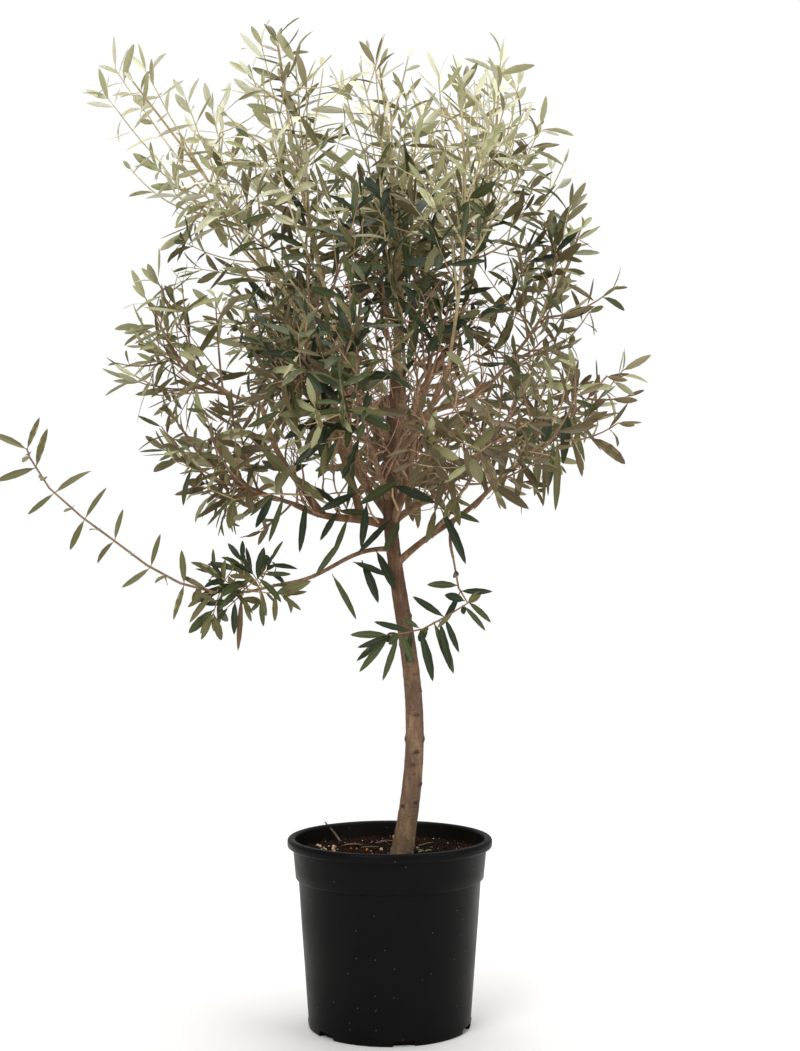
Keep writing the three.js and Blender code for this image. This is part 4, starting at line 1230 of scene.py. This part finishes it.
def scatter_tree():
    """Scatters turned, uneven grains over a surface."""
    tree, given, out = geometry_nodes("scattered_grains", (
        ("Grain", "NodeSocketObject"), ("Per square metre", "NodeSocketFloat"),
        ("Smallest", "NodeSocketVector"), ("Largest", "NodeSocketVector"), ("Tumble", "NodeSocketFloat"),
        ("Seed", "NodeSocketInt"), ("Material", "NodeSocketMaterial")))
    points = node(tree, "GeometryNodeDistributePointsOnFaces", {
        "Mesh": given["Geometry"], "Density": given["Per square metre"], "Seed": given["Seed"]})
    grain = node(tree, "GeometryNodeObjectInfo", {"Object": given["Grain"]})
    size = node(tree, "FunctionNodeRandomValue", {0: given["Smallest"], 1: given["Largest"],
                                                  "Seed": given["Seed"]}, data_type="FLOAT_VECTOR")
    most = node(tree, "ShaderNodeCombineXYZ", {"X": given["Tumble"], "Y": given["Tumble"], "Z": math.pi})
    least = node(tree, "ShaderNodeVectorMath", {0: most.outputs["Vector"], "Scale": -1.0}, operation="SCALE")
    turn = node(tree, "FunctionNodeRandomValue", {0: least.outputs["Vector"], 1: most.outputs["Vector"],
                                                  "Seed": given["Seed"]}, data_type="FLOAT_VECTOR")
    grains = node(tree, "GeometryNodeInstanceOnPoints", {
        "Points": points.outputs["Points"], "Instance": grain.outputs["Geometry"],
        "Rotation": turn.outputs["Value"], "Scale": size.outputs["Value"]})
    return end_tree(tree, grains.outputs["Instances"], given, out)


def grain_shape(name, seed, roughness):
    """A rough lump one metre across, for scaling: an icosphere of 20 faces with moved corners."""
    shape = bmesh.new()
    bmesh.ops.create_icosphere(shape, subdivisions=1, radius=0.5)
    rng = np.random.default_rng(seed)
    for vertex in shape.verts:
        vertex.co *= 1 + rng.uniform(-roughness, roughness)
    return new_object(name, mesh_of(shape, name))


def scattered(name, surface, grain, density, smallest, largest, tumble, seed, material):
    """Grains over a copy of a surface. Sizes are in millimetres."""
    host = new_object(name + "_bed", surface.copy())
    run_nodes(host, scatter_tree(), {
        "Grain": grain, "Per square metre": float(density), "Smallest": tuple(v * MM for v in smallest),
        "Largest": tuple(v * MM for v in largest), "Tumble": float(tumble), "Seed": seed,
        "Material": material})
    return plain(host, name)


# ---------------------------------------------------------------- settings


class OlivePotSettings(bpy.types.PropertyGroup):
    """Sizes and colours of the nursery pot."""

    height: FloatProperty(name="Height", description="From the floor to the top of the rim",
                          default=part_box("pot")[1][2], min=0.1, max=0.5, unit="LENGTH")
    rim_radius: FloatProperty(name="Rim radius", description="Outer radius of the rolled rim",
                              default=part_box("pot")[1][0], min=0.05, max=0.3, unit="LENGTH")
    wall: FloatProperty(name="Wall", description="Thickness of the moulded wall",
                        default=0.0018, min=0.0005, max=0.003, unit="LENGTH")
    notch_width: FloatProperty(name="Notch width", description="Width of a drain notch at the foot",
                               default=0.030, min=0.005, max=0.06, unit="LENGTH")
    plastic: FloatVectorProperty(name="Plastic", description="Colour of the moulded plastic",
                                 subtype="COLOR", default=linear("#0b0a0a"), min=0, max=1)
    dust: FloatVectorProperty(name="Dust", description="Colour of the peat dust on the pot",
                              subtype="COLOR", default=linear("#6d665c"), min=0, max=1)


class OliveMixSettings(bpy.types.PropertyGroup):
    """Grain and colours of the potting mix."""

    grains: FloatProperty(name="Bark fines per square metre", description="How many fines lie on top",
                          default=60000.0, min=0, max=200000)
    dark: FloatVectorProperty(name="Damp mix", description="Colour of the damp mix between the grains",
                              subtype="COLOR", default=linear("#0d0604"), min=0, max=1)
    light: FloatVectorProperty(name="Dry mix", description="Colour of the dry mix on top",
                               subtype="COLOR", default=linear("#2a1911"), min=0, max=1)


class OliveWoodSettings(bpy.types.PropertyGroup):
    """Relief and colours of the bark."""

    relief: FloatProperty(name="Relief", description="Height of the bark's relief as a share of the girth",
                          default=0.16, min=0.0, max=0.5)
    ripe: FloatVectorProperty(name="Ripe bark", description="Colour of the trunk's bark",
                              subtype="COLOR", default=linear("#725a46"), min=0, max=1)
    young: FloatVectorProperty(name="Young bark", description="Colour of the boughs' bark",
                               subtype="COLOR", default=linear("#967859"), min=0, max=1)
    rust: FloatVectorProperty(name="Rust", description="Colour of the rubbed patches",
                              subtype="COLOR", default=linear("#5a3a28"), min=0, max=1)
    twig: FloatVectorProperty(name="Twig", description="Colour of the youngest twigs",
                              subtype="COLOR", default=linear("#b39870"), min=0, max=1)


class OliveCrownSettings(bpy.types.PropertyGroup):
    """How thickly the crown is branched and leafed."""

    extra_shoots: IntProperty(name="Extra shoots", description="Shoots added to each stem",
                              default=10, min=0, max=40)
    side_gap: FloatProperty(name="Twig gap", description="Distance between the side twigs of a shoot",
                            default=0.040, min=0.01, max=0.2, unit="LENGTH")
    bare_gap: FloatProperty(name="Bare twig gap", description="Distance between the bare twigs of a bough",
                            default=0.019, min=0.005, max=0.2, unit="LENGTH")
    leaf_gap: FloatProperty(name="Leaf gap", description="Distance between two pairs of leaves",
                            default=0.024, min=0.005, max=0.1, unit="LENGTH")
    leaf_apart: FloatProperty(name="Leaf spacing", description="Least distance between leaves' middles",
                              default=0.0125, min=0.001, max=0.05, unit="LENGTH")
    leaf_min: FloatProperty(name="Shortest leaf", description="Length of the shortest grown leaf",
                            default=0.042, min=0.01, max=0.1, unit="LENGTH")
    leaf_max: FloatProperty(name="Longest leaf", description="Length of the longest grown leaf",
                            default=0.066, min=0.01, max=0.12, unit="LENGTH")
    middle_share: FloatProperty(name="Leaves in the middle", subtype="FACTOR", default=0.12, min=0, max=1,
                                description="Share of the leaves kept in the open middle of the crown")


class OliveStageSettings(bpy.types.PropertyGroup):
    """Floor, lights and camera."""

    floor: FloatVectorProperty(name="Floor", description="Colour of the plain floor",
                               subtype="COLOR", default=linear("#f4f3f1"), min=0, max=1)
    floor_radius: FloatProperty(name="Floor radius", description="Radius of the round floor",
                                default=1.7, min=0.3, max=20, unit="LENGTH")
    sky: FloatProperty(name="Room light", description="Strength of the light from all round",
                       default=0.42, min=0, max=5)
    key: FloatProperty(name="Key light", description="Power of the large light in front",
                       default=60.0, min=0, max=1000, unit="POWER")
    lens: FloatProperty(name="Lens", description="Focal length for a 36 mm long side",
                        default=62.03, min=10, max=300, unit="CAMERA")
    distance: FloatProperty(name="Distance", description="From the camera to the pot's axis",
                            default=2.480, min=0.5, max=10, unit="LENGTH")
    eye: FloatProperty(name="Eye height", description="Height of the camera above the floor",
                       default=0.683, min=0, max=3, unit="LENGTH")


# ---------------------------------------------------------------- operators


class OLIVE_OT_pot(bpy.types.Operator):
    """Model the nursery pot with its rolled rim, collar, ringed inside and drain notches"""

    bl_idname = "olive.pot"
    bl_label = "Nursery pot"

    def execute(self, context):
        chosen = context.scene.olive_pot
        height, rim, wall = chosen.height / MM, chosen.rim_radius / MM, chosen.wall / MM
        # Radii under the rim, where the collar meets the wall, and at the foot.
        collar_top, collar_foot, shoulder, foot = rim - 7.5, rim - 11.5, rim - 15.5, rim - 29
        bead, floor = 4.2, 4.0
        outside = [
            (0, 1.2), (foot - 16, 1.2), (foot - 14, 0), *arc((foot - 2.4, 2.4), 2.4, -90, 0, 4),
            (foot + 0.9, 9), (foot + 0.2, 11), (foot + 5.2, 80), (foot + 9.6, 140), (shoulder, 199),
            (shoulder + 0.3, 201.4), (collar_foot - 0.8, 202.2), (collar_foot + 0.2, 203.6),
            (collar_foot + 1.2, 215), (collar_top - 0.4, 240), (collar_top + 0.2, height - 13.2),
            (collar_top + 1.2, height - 12.4), (rim - 1.6, height - 12.2), (rim - 0.4, height - 11.2),
            (rim, height - 9.6), *arc((rim - bead, height - bead), bead, 0, 90, 6),
            *arc((rim - bead - 3, height - 3.4), 3.4, 90, 180, 4),
        ]
        # Faint rings run round the inside of the collar.
        inside, ring_step, ring_depth = [], 4.0, 0.45
        top_inside = height - 16
        for k in range(int((top_inside - 206) / ring_step)):
            z = top_inside - k * ring_step
            r = np.interp(z, (203, top_inside), (collar_foot - wall, collar_top - wall))
            inside += [(r, z), (r - ring_depth, z - ring_step * 0.5)]
        inside += [(collar_foot - wall, 203), (shoulder - wall, 199), (foot - wall, floor + 3),
                   (foot - wall - 3, floor), (0, floor)]
        vertices, faces = lathe(outside + inside, 160)
        host = show("pot_blank", vertices, faces, [])
        cutter = self.notch_cutter(chosen)
        run_nodes(host, self.notch_tree(), {"Cutter": cutter, "Count": 6,
                                            "Foot radius": foot * MM, "Turn": math.radians(10),
                                            "Material": moulded_polypropylene(chosen)})
        pot = plain(host, "nursery_pot")
        bpy.data.objects.remove(cutter)
        set_smooth(pot.data)
        pot.data.set_sharp_from_angle(angle=math.radians(38))
        finish_piece(pot, "pot", "pot")
        return {"FINISHED"}

    @staticmethod
    def notch_cutter(chosen):
        """A bar with a rounded top that cuts one arch through the foot, at the origin's left."""
        half, top = chosen.notch_width / MM / 2, 8.0
        shape = [(-half, -4), (half, -4), (half, top - 3), *arc((half - 3, top - 3), 3, 0, 90, 3)[1:],
                 *arc((-half + 3, top - 3), 3, 90, 180, 3)]
        depth = 9.0
        vertices = [(x, y, z) for y in (-depth, depth) for x, z in shape]
        count = len(shape)
        faces = [tuple(range(count)), tuple(range(2 * count - 1, count - 1, -1))]
        for k in range(count):
            after = (k + 1) % count
            faces.append((k, count + k, count + after, after))
        return show("notch_cutter", vertices, faces, [], smooth=False)

    @staticmethod
    def notch_tree():
        """Cuts evenly spaced copies of the cutter out of the foot."""
        tree, given, out = geometry_nodes("drain_notches", (
            ("Cutter", "NodeSocketObject"), ("Count", "NodeSocketInt"), ("Foot radius", "NodeSocketFloat"),
            ("Turn", "NodeSocketFloat"), ("Material", "NodeSocketMaterial")))
        spots = node(tree, "GeometryNodePoints", {"Count": given["Count"]})
        index = node(tree, "GeometryNodeInputIndex")
        share = node(tree, "ShaderNodeMath", {0: index.outputs["Index"], 1: given["Count"]},
                     operation="DIVIDE")
        angle = node(tree, "ShaderNodeMath", {0: share.outputs["Value"], 1: 2 * math.pi, 2: given["Turn"]},
                     operation="MULTIPLY_ADD")
        sine = node(tree, "ShaderNodeMath", {0: angle.outputs["Value"]}, operation="SINE")
        cosine = node(tree, "ShaderNodeMath", {0: angle.outputs["Value"]}, operation="COSINE")
        back = node(tree, "ShaderNodeMath", {0: cosine.outputs["Value"], 1: -1.0}, operation="MULTIPLY")
        spot = node(tree, "ShaderNodeCombineXYZ", {"X": sine.outputs["Value"], "Y": back.outputs["Value"]})
        out_there = node(tree, "ShaderNodeVectorMath", {0: spot.outputs["Vector"],
                                                        "Scale": given["Foot radius"]}, operation="SCALE")
        set_out = node(tree, "GeometryNodeSetPosition", {"Geometry": spots.outputs["Geometry"],
                                                         "Position": out_there.outputs["Vector"]})
        cutter = node(tree, "GeometryNodeObjectInfo", {"Object": given["Cutter"]})
        turn = node(tree, "ShaderNodeCombineXYZ", {"Z": angle.outputs["Value"]})
        cutters = node(tree, "GeometryNodeInstanceOnPoints", {
            "Points": set_out.outputs["Geometry"], "Instance": cutter.outputs["Geometry"],
            "Rotation": turn.outputs["Vector"]})
        real = node(tree, "GeometryNodeRealizeInstances", {"Geometry": cutters.outputs["Instances"]})
        cut = node(tree, "GeometryNodeMeshBoolean", {"Mesh 1": given["Geometry"],
                                                     "Mesh 2": real.outputs["Geometry"]},
                   operation="DIFFERENCE", solver="EXACT")
        return end_tree(tree, cut.outputs["Mesh"], given, out)


class OLIVE_OT_mix(bpy.types.Operator):
    """Model the potting mix: an uneven bed, bark fines, perlite, clay and what has fallen on it"""

    bl_idname = "olive.mix"
    bl_label = "Potting mix"

    def execute(self, context):
        chosen = context.scene.olive_mix
        fines = loose_matter("composted_bark_fines", tuple(chosen.dark), tuple(chosen.light), 0.0015)
        bed, top = self.bed(fines)
        finish_piece(bed, "potting_mix", "potting_mix")
        lump, chip = grain_shape("lump", 1, 0.22), grain_shape("chip", 2, 0.35)
        kinds = (
            ("bark_fines", lump, chosen.grains, (1.4, 1.0, 0.8), (5.0, 3.6, 2.6), 3.1, 11, fines),
            ("bark_chips", chip, 5200, (4, 2.0, 0.8), (12, 5.5, 2.2), 0.5, 12,
             loose_matter("bark_chips", linear("#150c08"), linear("#523424"), 0.002)),
            ("perlite", lump, 2400, (0.9, 0.8, 0.7), (2.6, 2.4, 2.0), 3.1, 13,
             loose_matter("expanded_perlite", linear("#b9b2a6"), linear("#e6e1d7"), 0.0008)),
            ("clay_grit", lump, 550, (1.6, 1.4, 1.2), (3.8, 3.4, 2.8), 3.1, 14,
             loose_matter("fired_clay_grit", linear("#5a3824"), linear("#9a6a47"), 0.001)),
        )
        for name, grain, density, smallest, largest, tumble, seed, material in kinds:
            piece = scattered(name, top, grain, density, smallest, largest, tumble, seed, material)
            finish_piece(piece, "potting_mix")
        for grain in (lump, chip):
            bpy.data.objects.remove(grain)
        self.stones()
        self.litter(context)
        return {"FINISHED"}

    @staticmethod
    def height(x, y):
        """Level of the mix at a place, in millimetres: bumpy, flat round the stem, higher at the wall."""
        radius = np.hypot(x, y)
        bumps = (np.sin(x / 9.0 + 1.3) * np.cos(y / 7.5) + 0.6 * np.sin((x + 1.7 * y) / 5.2)
                 + 0.5 * np.cos((1.3 * x - y) / 3.9))
        away = np.clip((np.hypot(x - TRUNK.root[0], y - TRUNK.root[1]) - 16) / 20, 0, 1)
        return 231.2 + 1.1 * bumps * away + 5.5 * np.clip((radius - 84) / 42, 0, 1) ** 1.5

    def bed(self, material):
        """The whole body of mix, and its top as a mesh of its own for scattering."""
        facets, rings = 120, 34
        brim = 127.0
        profile = [(0, 4.5), (107, 4.5), (120.5, 199), (124.8, 204)]
        profile += [(brim * share, 232.0) for share in np.linspace(1, 0, rings)]
        vertices, faces = lathe(profile, facets)
        upper = vertices[:, 2] > 225
        vertices[upper, 2] = self.height(vertices[upper, 0], vertices[upper, 1])
        bed = show("potting_mix_bed", vertices, faces, [material])
        kept = set(np.flatnonzero(upper).tolist())
        top_faces = [face for face in faces if kept.issuperset(face)]
        top = bpy.data.meshes.new("mix_top")
        top.from_pydata((vertices * MM).tolist(), [], top_faces)
        return bed, top

    def stones(self):
        """Pebbles and clay granules that stand out: each has its place, its size and its kind."""
        cream = loose_matter("quartz_pebbles", linear("#a08a6c"), linear("#d9c8a8"), 0.002, 0.6)
        amber = loose_matter("clay_granules", linear("#8a4f2c"), linear("#c58552"), 0.0015, 0.7)
        rng, wall = np.random.default_rng(9), 121
        spots = [(-97, 43, 5, 0), (-12, 35, 5, 0), (76, 97, 5, 1), (-32, 27, 5, 1), (5, 117, 6, 1)]
        spots += [(-87 + rng.uniform(-14, 14), 34 + rng.uniform(-26, 26), rng.uniform(2.2, 4.8), n % 3 // 2)
                  for n in range(16)]
        spots += [(*(rng.uniform(-1, 1, 2) * 82), rng.uniform(2.2, 4.0), n % 2) for n in range(18)]
        for kind, (name, material) in enumerate((("pebbles", cream), ("clay_granules", amber))):
            shape = bmesh.new()
            for x, y, size, sort in spots:
                if sort != kind or math.hypot(x, y) > wall:
                    continue
                made = bmesh.ops.create_icosphere(shape, subdivisions=2, radius=size / 2 * MM)["verts"]
                spread = rng.uniform(0.75, 1.2, 3)
                here = Vector((x, y, float(self.height(x, y)) + size * 0.3)) * MM
                for vertex in made:
                    wobble = 1 + 0.12 * math.sin(vertex.co.x * 1900 + x) * math.cos(vertex.co.z * 1700 + y)
                    vertex.co = Vector(vertex.co * Vector(spread) * wobble) + here
            mesh = mesh_of(shape, material.name)
            mesh.materials.append(material)
            set_smooth(mesh)
            finish_piece(new_object(name, mesh), "potting_mix")

    def litter(self, context):
        """A dry stick, slivers, a fallen leaf and a seedling on top of the mix."""
        wood = context.scene.olive_wood
        dead = olive_bark(wood, "dead_twig_bark", linear("#5c4a3c"), linear("#8a7663"), 0.2)
        rest = 233.5
        sticks = [((-68, 92, rest - 3), (-80, 96, rest + 13), (-93, 101, rest + 27), 1.7),
                  ((-20, 84, rest), (-6, 92, rest + 2), (10, 94, rest + 1), 1.1),
                  ((40, 62, rest), (52, 70, rest + 2), (61, 84, rest + 1), 1.0),
                  ((-40, 50, rest), (-29, 46, rest + 1.5), (-16, 49, rest + 1), 0.9),
                  ((60, -40, rest), (76, -52, rest + 2), (88, -50, rest + 1), 1.2),
                  ((-70, -50, rest), (-52, -66, rest + 2), (-40, -70, rest + 1), 1.1)]
        paths = [(np.array(stick[:3], float), (stick[3], stick[3] * 0.9, stick[3] * 0.6))
                 for stick in sticks]
        piece = tubes("dry_sticks", paths, sides=7, relief=0.3, grain=700.0, material=dead)
        finish_piece(piece, "potting_mix")
        fallen = leaf_rows([
            ((-68, 58, rest + 1), (-31, 77, rest + 3), 12.0, 0.3),
            ((60, -24, rest + 1), (24, -44, rest + 4), 8.0, -0.6),
            ((-30, -60, rest + 1), (12, -74, rest + 3), 8.5, 0.5),
            ((-88, 10, rest + 1), (-70, -30, rest + 3), 8.0, 0.4),
        ], UP)
        brown = leaf_skins("fallen_leaf", ("#6e4c33", "#8f7454", "#a58a63"),
                           ((0.75, 0.2), (0.85, 0.1), (0.8, 0.1)))
        finish_piece(leaves_object("fallen_leaves", fallen, brown), "foliage")
        tips = ((54, 10, 13, 7.0, 1.0), (36, 18, 8, 6.5, 1.1), (60, 20, 6, 7.0, 0.8), (40, 6, 5, 6.5, 0.7))
        weed = leaf_rows([((48, 14, rest), (x, y, rest + up), width, curl)
                          for x, y, up, width, curl in tips], UP)
        green = leaf_skins("seedling", ("#6f7a55", "#868d6b", "#98a07c"),
                           ((0.6, 0.1), (0.7, 0.1), (0.7, 0.1)))
        finish_piece(leaves_object("seedling", weed, green), "foliage")


def leaf_rows(leaves, face):
    """Leaves given one by one: root, tip, width and curl. face is where their upper sides look."""
    rows = np.zeros(len(leaves), LEAF_ROW)
    for row, (root, tip, width, curl) in zip(rows, leaves):
        span = np.array(tip, float) - np.array(root, float)
        along = unit(span)
        normal = unit(np.array(face, float) - along * (along @ np.array(face, float)))
        row["root"], row["along"], row["normal"] = root, along, normal
        row["length"], row["width"], row["curl"], row["fold"] = np.linalg.norm(span), width, curl, 0.25
    return rows


class OLIVE_OT_wood(bpy.types.Operator):
    """Model the trunk and the boughs with the relief of their bark"""

    bl_idname = "olive.wood"
    bl_label = "Trunk and boughs"

    def execute(self, context):
        chosen = context.scene.olive_wood
        limbs, _, _ = grown(current_plan())
        trunk_bark = olive_bark(chosen, "ripe_olive_bark", tuple(chosen.ripe), tuple(chosen.young), 0.75)
        bough_bark = olive_bark(chosen, "young_olive_bark", tuple(chosen.young), linear("#a88a6c"), 0.6)
        trunk = tubes("trunk_bark", [self.ringed(limbs["trunk"], step=2.4)], sides=40,
                      relief=chosen.relief, grain=260.0, material=trunk_bark)
        raise_scars(trunk.data)
        finish_piece(trunk, "bark", "trunk")
        boughs = [name for name, *_ in BOUGHS]
        paths = [self.ringed(limbs[name], step=4.0, collar=0.45) for name in boughs]
        piece = tubes("bough_bark", paths, sides=16, relief=chosen.relief * 1.2, grain=420.0,
                      material=bough_bark)
        finish_piece(piece, "bark", *boughs)
        return {"FINISHED"}

    @staticmethod
    def ringed(limb, step, collar=0.0):
        """A limb's rings, swollen into a collar where it leaves its parent."""
        count = max(4, round(math.dist(limb.root, limb.tip) / step))
        shares = np.linspace(0, 1, count + 1)
        marks = shares * math.dist(limb.root, limb.tip)
        return limb.at(shares), limb.radius(shares) * (1 + collar * np.exp(-marks / 14))


class OLIVE_OT_twigs(bpy.types.Operator):
    """Grow the stems and twigs of every mass of leaves"""

    bl_idname = "olive.twigs"
    bl_label = "Twigs"

    def execute(self, context):
        chosen = context.scene.olive_wood
        _, twigs, _ = grown(current_plan())
        ripe = olive_bark(chosen, "second_year_twig_bark", linear("#92755c"), linear("#b39474"), 0.25)
        green = olive_bark(chosen, "first_year_twig_bark", tuple(chosen.twig), linear("#ccb48c"), 0.05)
        sunlit = olive_bark(chosen, "sunlit_stem_bark", linear("#b09b74"), linear("#cfbf98"), 0.05)
        young_wood_and_painted_light = olive_bark(chosen, "green_wood_and_painted_light_bark", linear("#c4b68c"), linear("#e0d6b2"), 0.0)
        inner = olive_bark(chosen, "shaded_twig_bark", linear("#a07d65"), linear("#c4a083"), 0.15)
        nodes = [mass.name for mass in MASSES]
        # Wood high in the crown takes the pale barks, for its young wood and as painted sunlight.
        high = [twig for twig in twigs if twig.path[-1][2] > SUNNY_HEIGHT]
        low = [twig for twig in twigs if twig.path[-1][2] <= SUNNY_HEIGHT]
        kinds = (
            ("mass_stems", low, (STEM,), 8, ripe),
            ("lower_shoots", low, (SHOOT,), 6, ripe),
            ("lower_twigs", low, (SIDE_TWIG,), 5, green),
            ("bare_twigs", low, (BARE_TWIG,), 5, inner),
            ("upper_stems", high, (STEM,), 8, sunlit),
            ("upper_shoots", high, (SHOOT,), 6, young_wood_and_painted_light),
            ("upper_twigs", high, (SIDE_TWIG, BARE_TWIG), 5, young_wood_and_painted_light),
        )
        for name, group, orders, sides, bark in kinds:
            paths = [self.tapered(twig) for twig in group if twig.order in orders]
            piece = tubes(name, paths, sides, relief=0.15, grain=600.0, material=bark)
            finish_piece(piece, "bark", *nodes)
        return {"FINISHED"}

    @staticmethod
    def tapered(twig):
        """A twig's points, and its radius at each."""
        shares = np.linspace(0, 1, len(twig.path))
        return twig.path, twig.radii[0] + (twig.radii[1] - twig.radii[0]) * shares


class OLIVE_OT_leaves(bpy.types.Operator):
    """Grow the leaves in opposite pairs, dark and waxy above and pale below"""

    bl_idname = "olive.leaves"
    bl_label = "Leaves"

    def execute(self, context):
        leaves = grown(current_plan())[2]
        nodes = [mass.name for mass in MASSES]
        # The tones from deep to pale are shaded and lit copies of the same leaf, each a piece of its own.
        for index, (tone, *colours) in enumerate(TONES):
            skins = leaf_skins(f"{tone}_leaf", colours, LEAF_FINISHES)
            rows = leaves[leaves["tone"] == index]
            free = [(root, tip, width, 0.25) for root, tip, width, kind in FREE_LEAVES if kind == index]
            # Free leaves turn their upper sides to the front and up.
            rows = np.concatenate([rows, leaf_rows(free, (0.25, -1, 0.4))])
            finish_piece(leaves_object(f"{tone}_leaves", rows, skins), "foliage", *nodes)
        return {"FINISHED"}


class OLIVE_OT_stage(bpy.types.Operator):
    """Set the plain floor, the soft lights and the camera"""

    bl_idname = "olive.stage"
    bl_label = "Stage"

    def execute(self, context):
        chosen = context.scene.olive_stage
        scene = context.scene
        disc = bmesh.new()
        bmesh.ops.create_circle(disc, cap_ends=True, segments=96, radius=chosen.floor_radius)
        mesh = mesh_of(disc, "floor")
        material, _, shader = new_material("painted_studio_floor", Roughness=0.8)
        shader.inputs["Base Color"].default_value = shade(chosen.floor, 1.0)
        mesh.materials.append(material)
        new_object("floor", mesh)
        world = bpy.data.worlds.new("studio")
        world.use_nodes = True
        # The backdrop is white to look at, and lights the plant less than it shows.
        sky = world.node_tree.nodes["Background"]
        seen = node(world.node_tree, "ShaderNodeLightPath").outputs["Is Camera Ray"]
        strength = node(world.node_tree, "ShaderNodeMapRange", {"Value": seen, "To Min": chosen.sky,
                                                                "To Max": 1.0})
        world.node_tree.links.new(strength.outputs["Result"], sky.inputs["Strength"])
        sky.inputs["Color"].default_value = (1.0, 1.0, 1.0, 1.0)
        scene.world = world
        self.lamp("key_light", (-1.3, -2.6, 2.6), (0, 0, 0.8), 1.6, chosen.key)
        self.lamp("fill_light", (2.2, -1.4, 1.5), (0, 0, 0.7), 1.4, chosen.key * 0.3)
        self.lamp("top_light", (0.1, 0.5, 3.4), (0, 0, 0.9), 2.4, chosen.key * 1.9)
        camera = bpy.data.cameras.new("camera")
        camera.lens = chosen.lens
        camera.sensor_width = 36.0
        camera.sensor_fit = "AUTO"
        # The camera stands a little right of the pot's axis and looks level along +Y.
        view = bpy.data.objects.new("camera", camera)
        view.location = (0.014, -chosen.distance, chosen.eye)
        view.rotation_euler = (math.pi / 2, 0, 0)
        scene.collection.objects.link(view)
        scene.camera = view
        scene.view_settings.view_transform = "Standard"
        return {"FINISHED"}

    @staticmethod
    def lamp(name, spot, target, size, power):
        """A square area light that looks at its target. Lengths are in metres, and power in watts."""
        light = bpy.data.lights.new(name, "AREA")
        light.size, light.energy = size, power
        lamp = bpy.data.objects.new(name, light)
        lamp.location = spot
        lamp.rotation_euler = (Vector(target) - Vector(spot)).to_track_quat("-Z", "Y").to_euler()
        bpy.context.scene.collection.objects.link(lamp)


class OLIVE_PT_panel(bpy.types.Panel):
    """Lists the pieces of the potted olive tree and their settings"""

    bl_label = "Potted olive tree"
    bl_idname = "OLIVE_PT_panel"
    bl_space_type = "VIEW_3D"
    bl_region_type = "UI"
    bl_category = "Olive tree"

    def draw(self, context):
        for group, operators in PANEL_ROWS:
            box = self.layout.box()
            settings = getattr(context.scene, group)
            for name in settings.__annotations__:
                box.prop(settings, name)
            for operator in operators:
                box.operator(operator.bl_idname)


GROUPS = (
    ("olive_pot", OlivePotSettings),
    ("olive_mix", OliveMixSettings),
    ("olive_wood", OliveWoodSettings),
    ("olive_crown", OliveCrownSettings),
    ("olive_stage", OliveStageSettings),
)
PANEL_ROWS = (
    ("olive_pot", (OLIVE_OT_pot,)),
    ("olive_mix", (OLIVE_OT_mix,)),
    ("olive_wood", (OLIVE_OT_wood, OLIVE_OT_twigs)),
    ("olive_crown", (OLIVE_OT_leaves,)),
    ("olive_stage", (OLIVE_OT_stage,)),
)
OPERATORS = tuple(operator for _, row in PANEL_ROWS for operator in row)


def register():
    """Registers the settings, the operators and the panel."""
    for _, group in GROUPS:
        bpy.utils.register_class(group)
    for name, group in GROUPS:
        setattr(bpy.types.Scene, name, PointerProperty(type=group))
    for operator in (*OPERATORS, OLIVE_PT_panel):
        bpy.utils.register_class(operator)


def unregister():
    """Takes them all back, last first."""
    for operator in reversed((*OPERATORS, OLIVE_PT_panel)):
        bpy.utils.unregister_class(operator)
    for name, group in reversed(GROUPS):
        delattr(bpy.types.Scene, name)
        bpy.utils.unregister_class(group)


def main():
    """Makes every piece in order."""
    register()
    bpy.ops.olive.stage()
    bpy.ops.olive.pot()
    bpy.ops.olive.mix()
    bpy.ops.olive.wood()
    bpy.ops.olive.twigs()
    bpy.ops.olive.leaves()


if __name__ == "__main__":
    main()
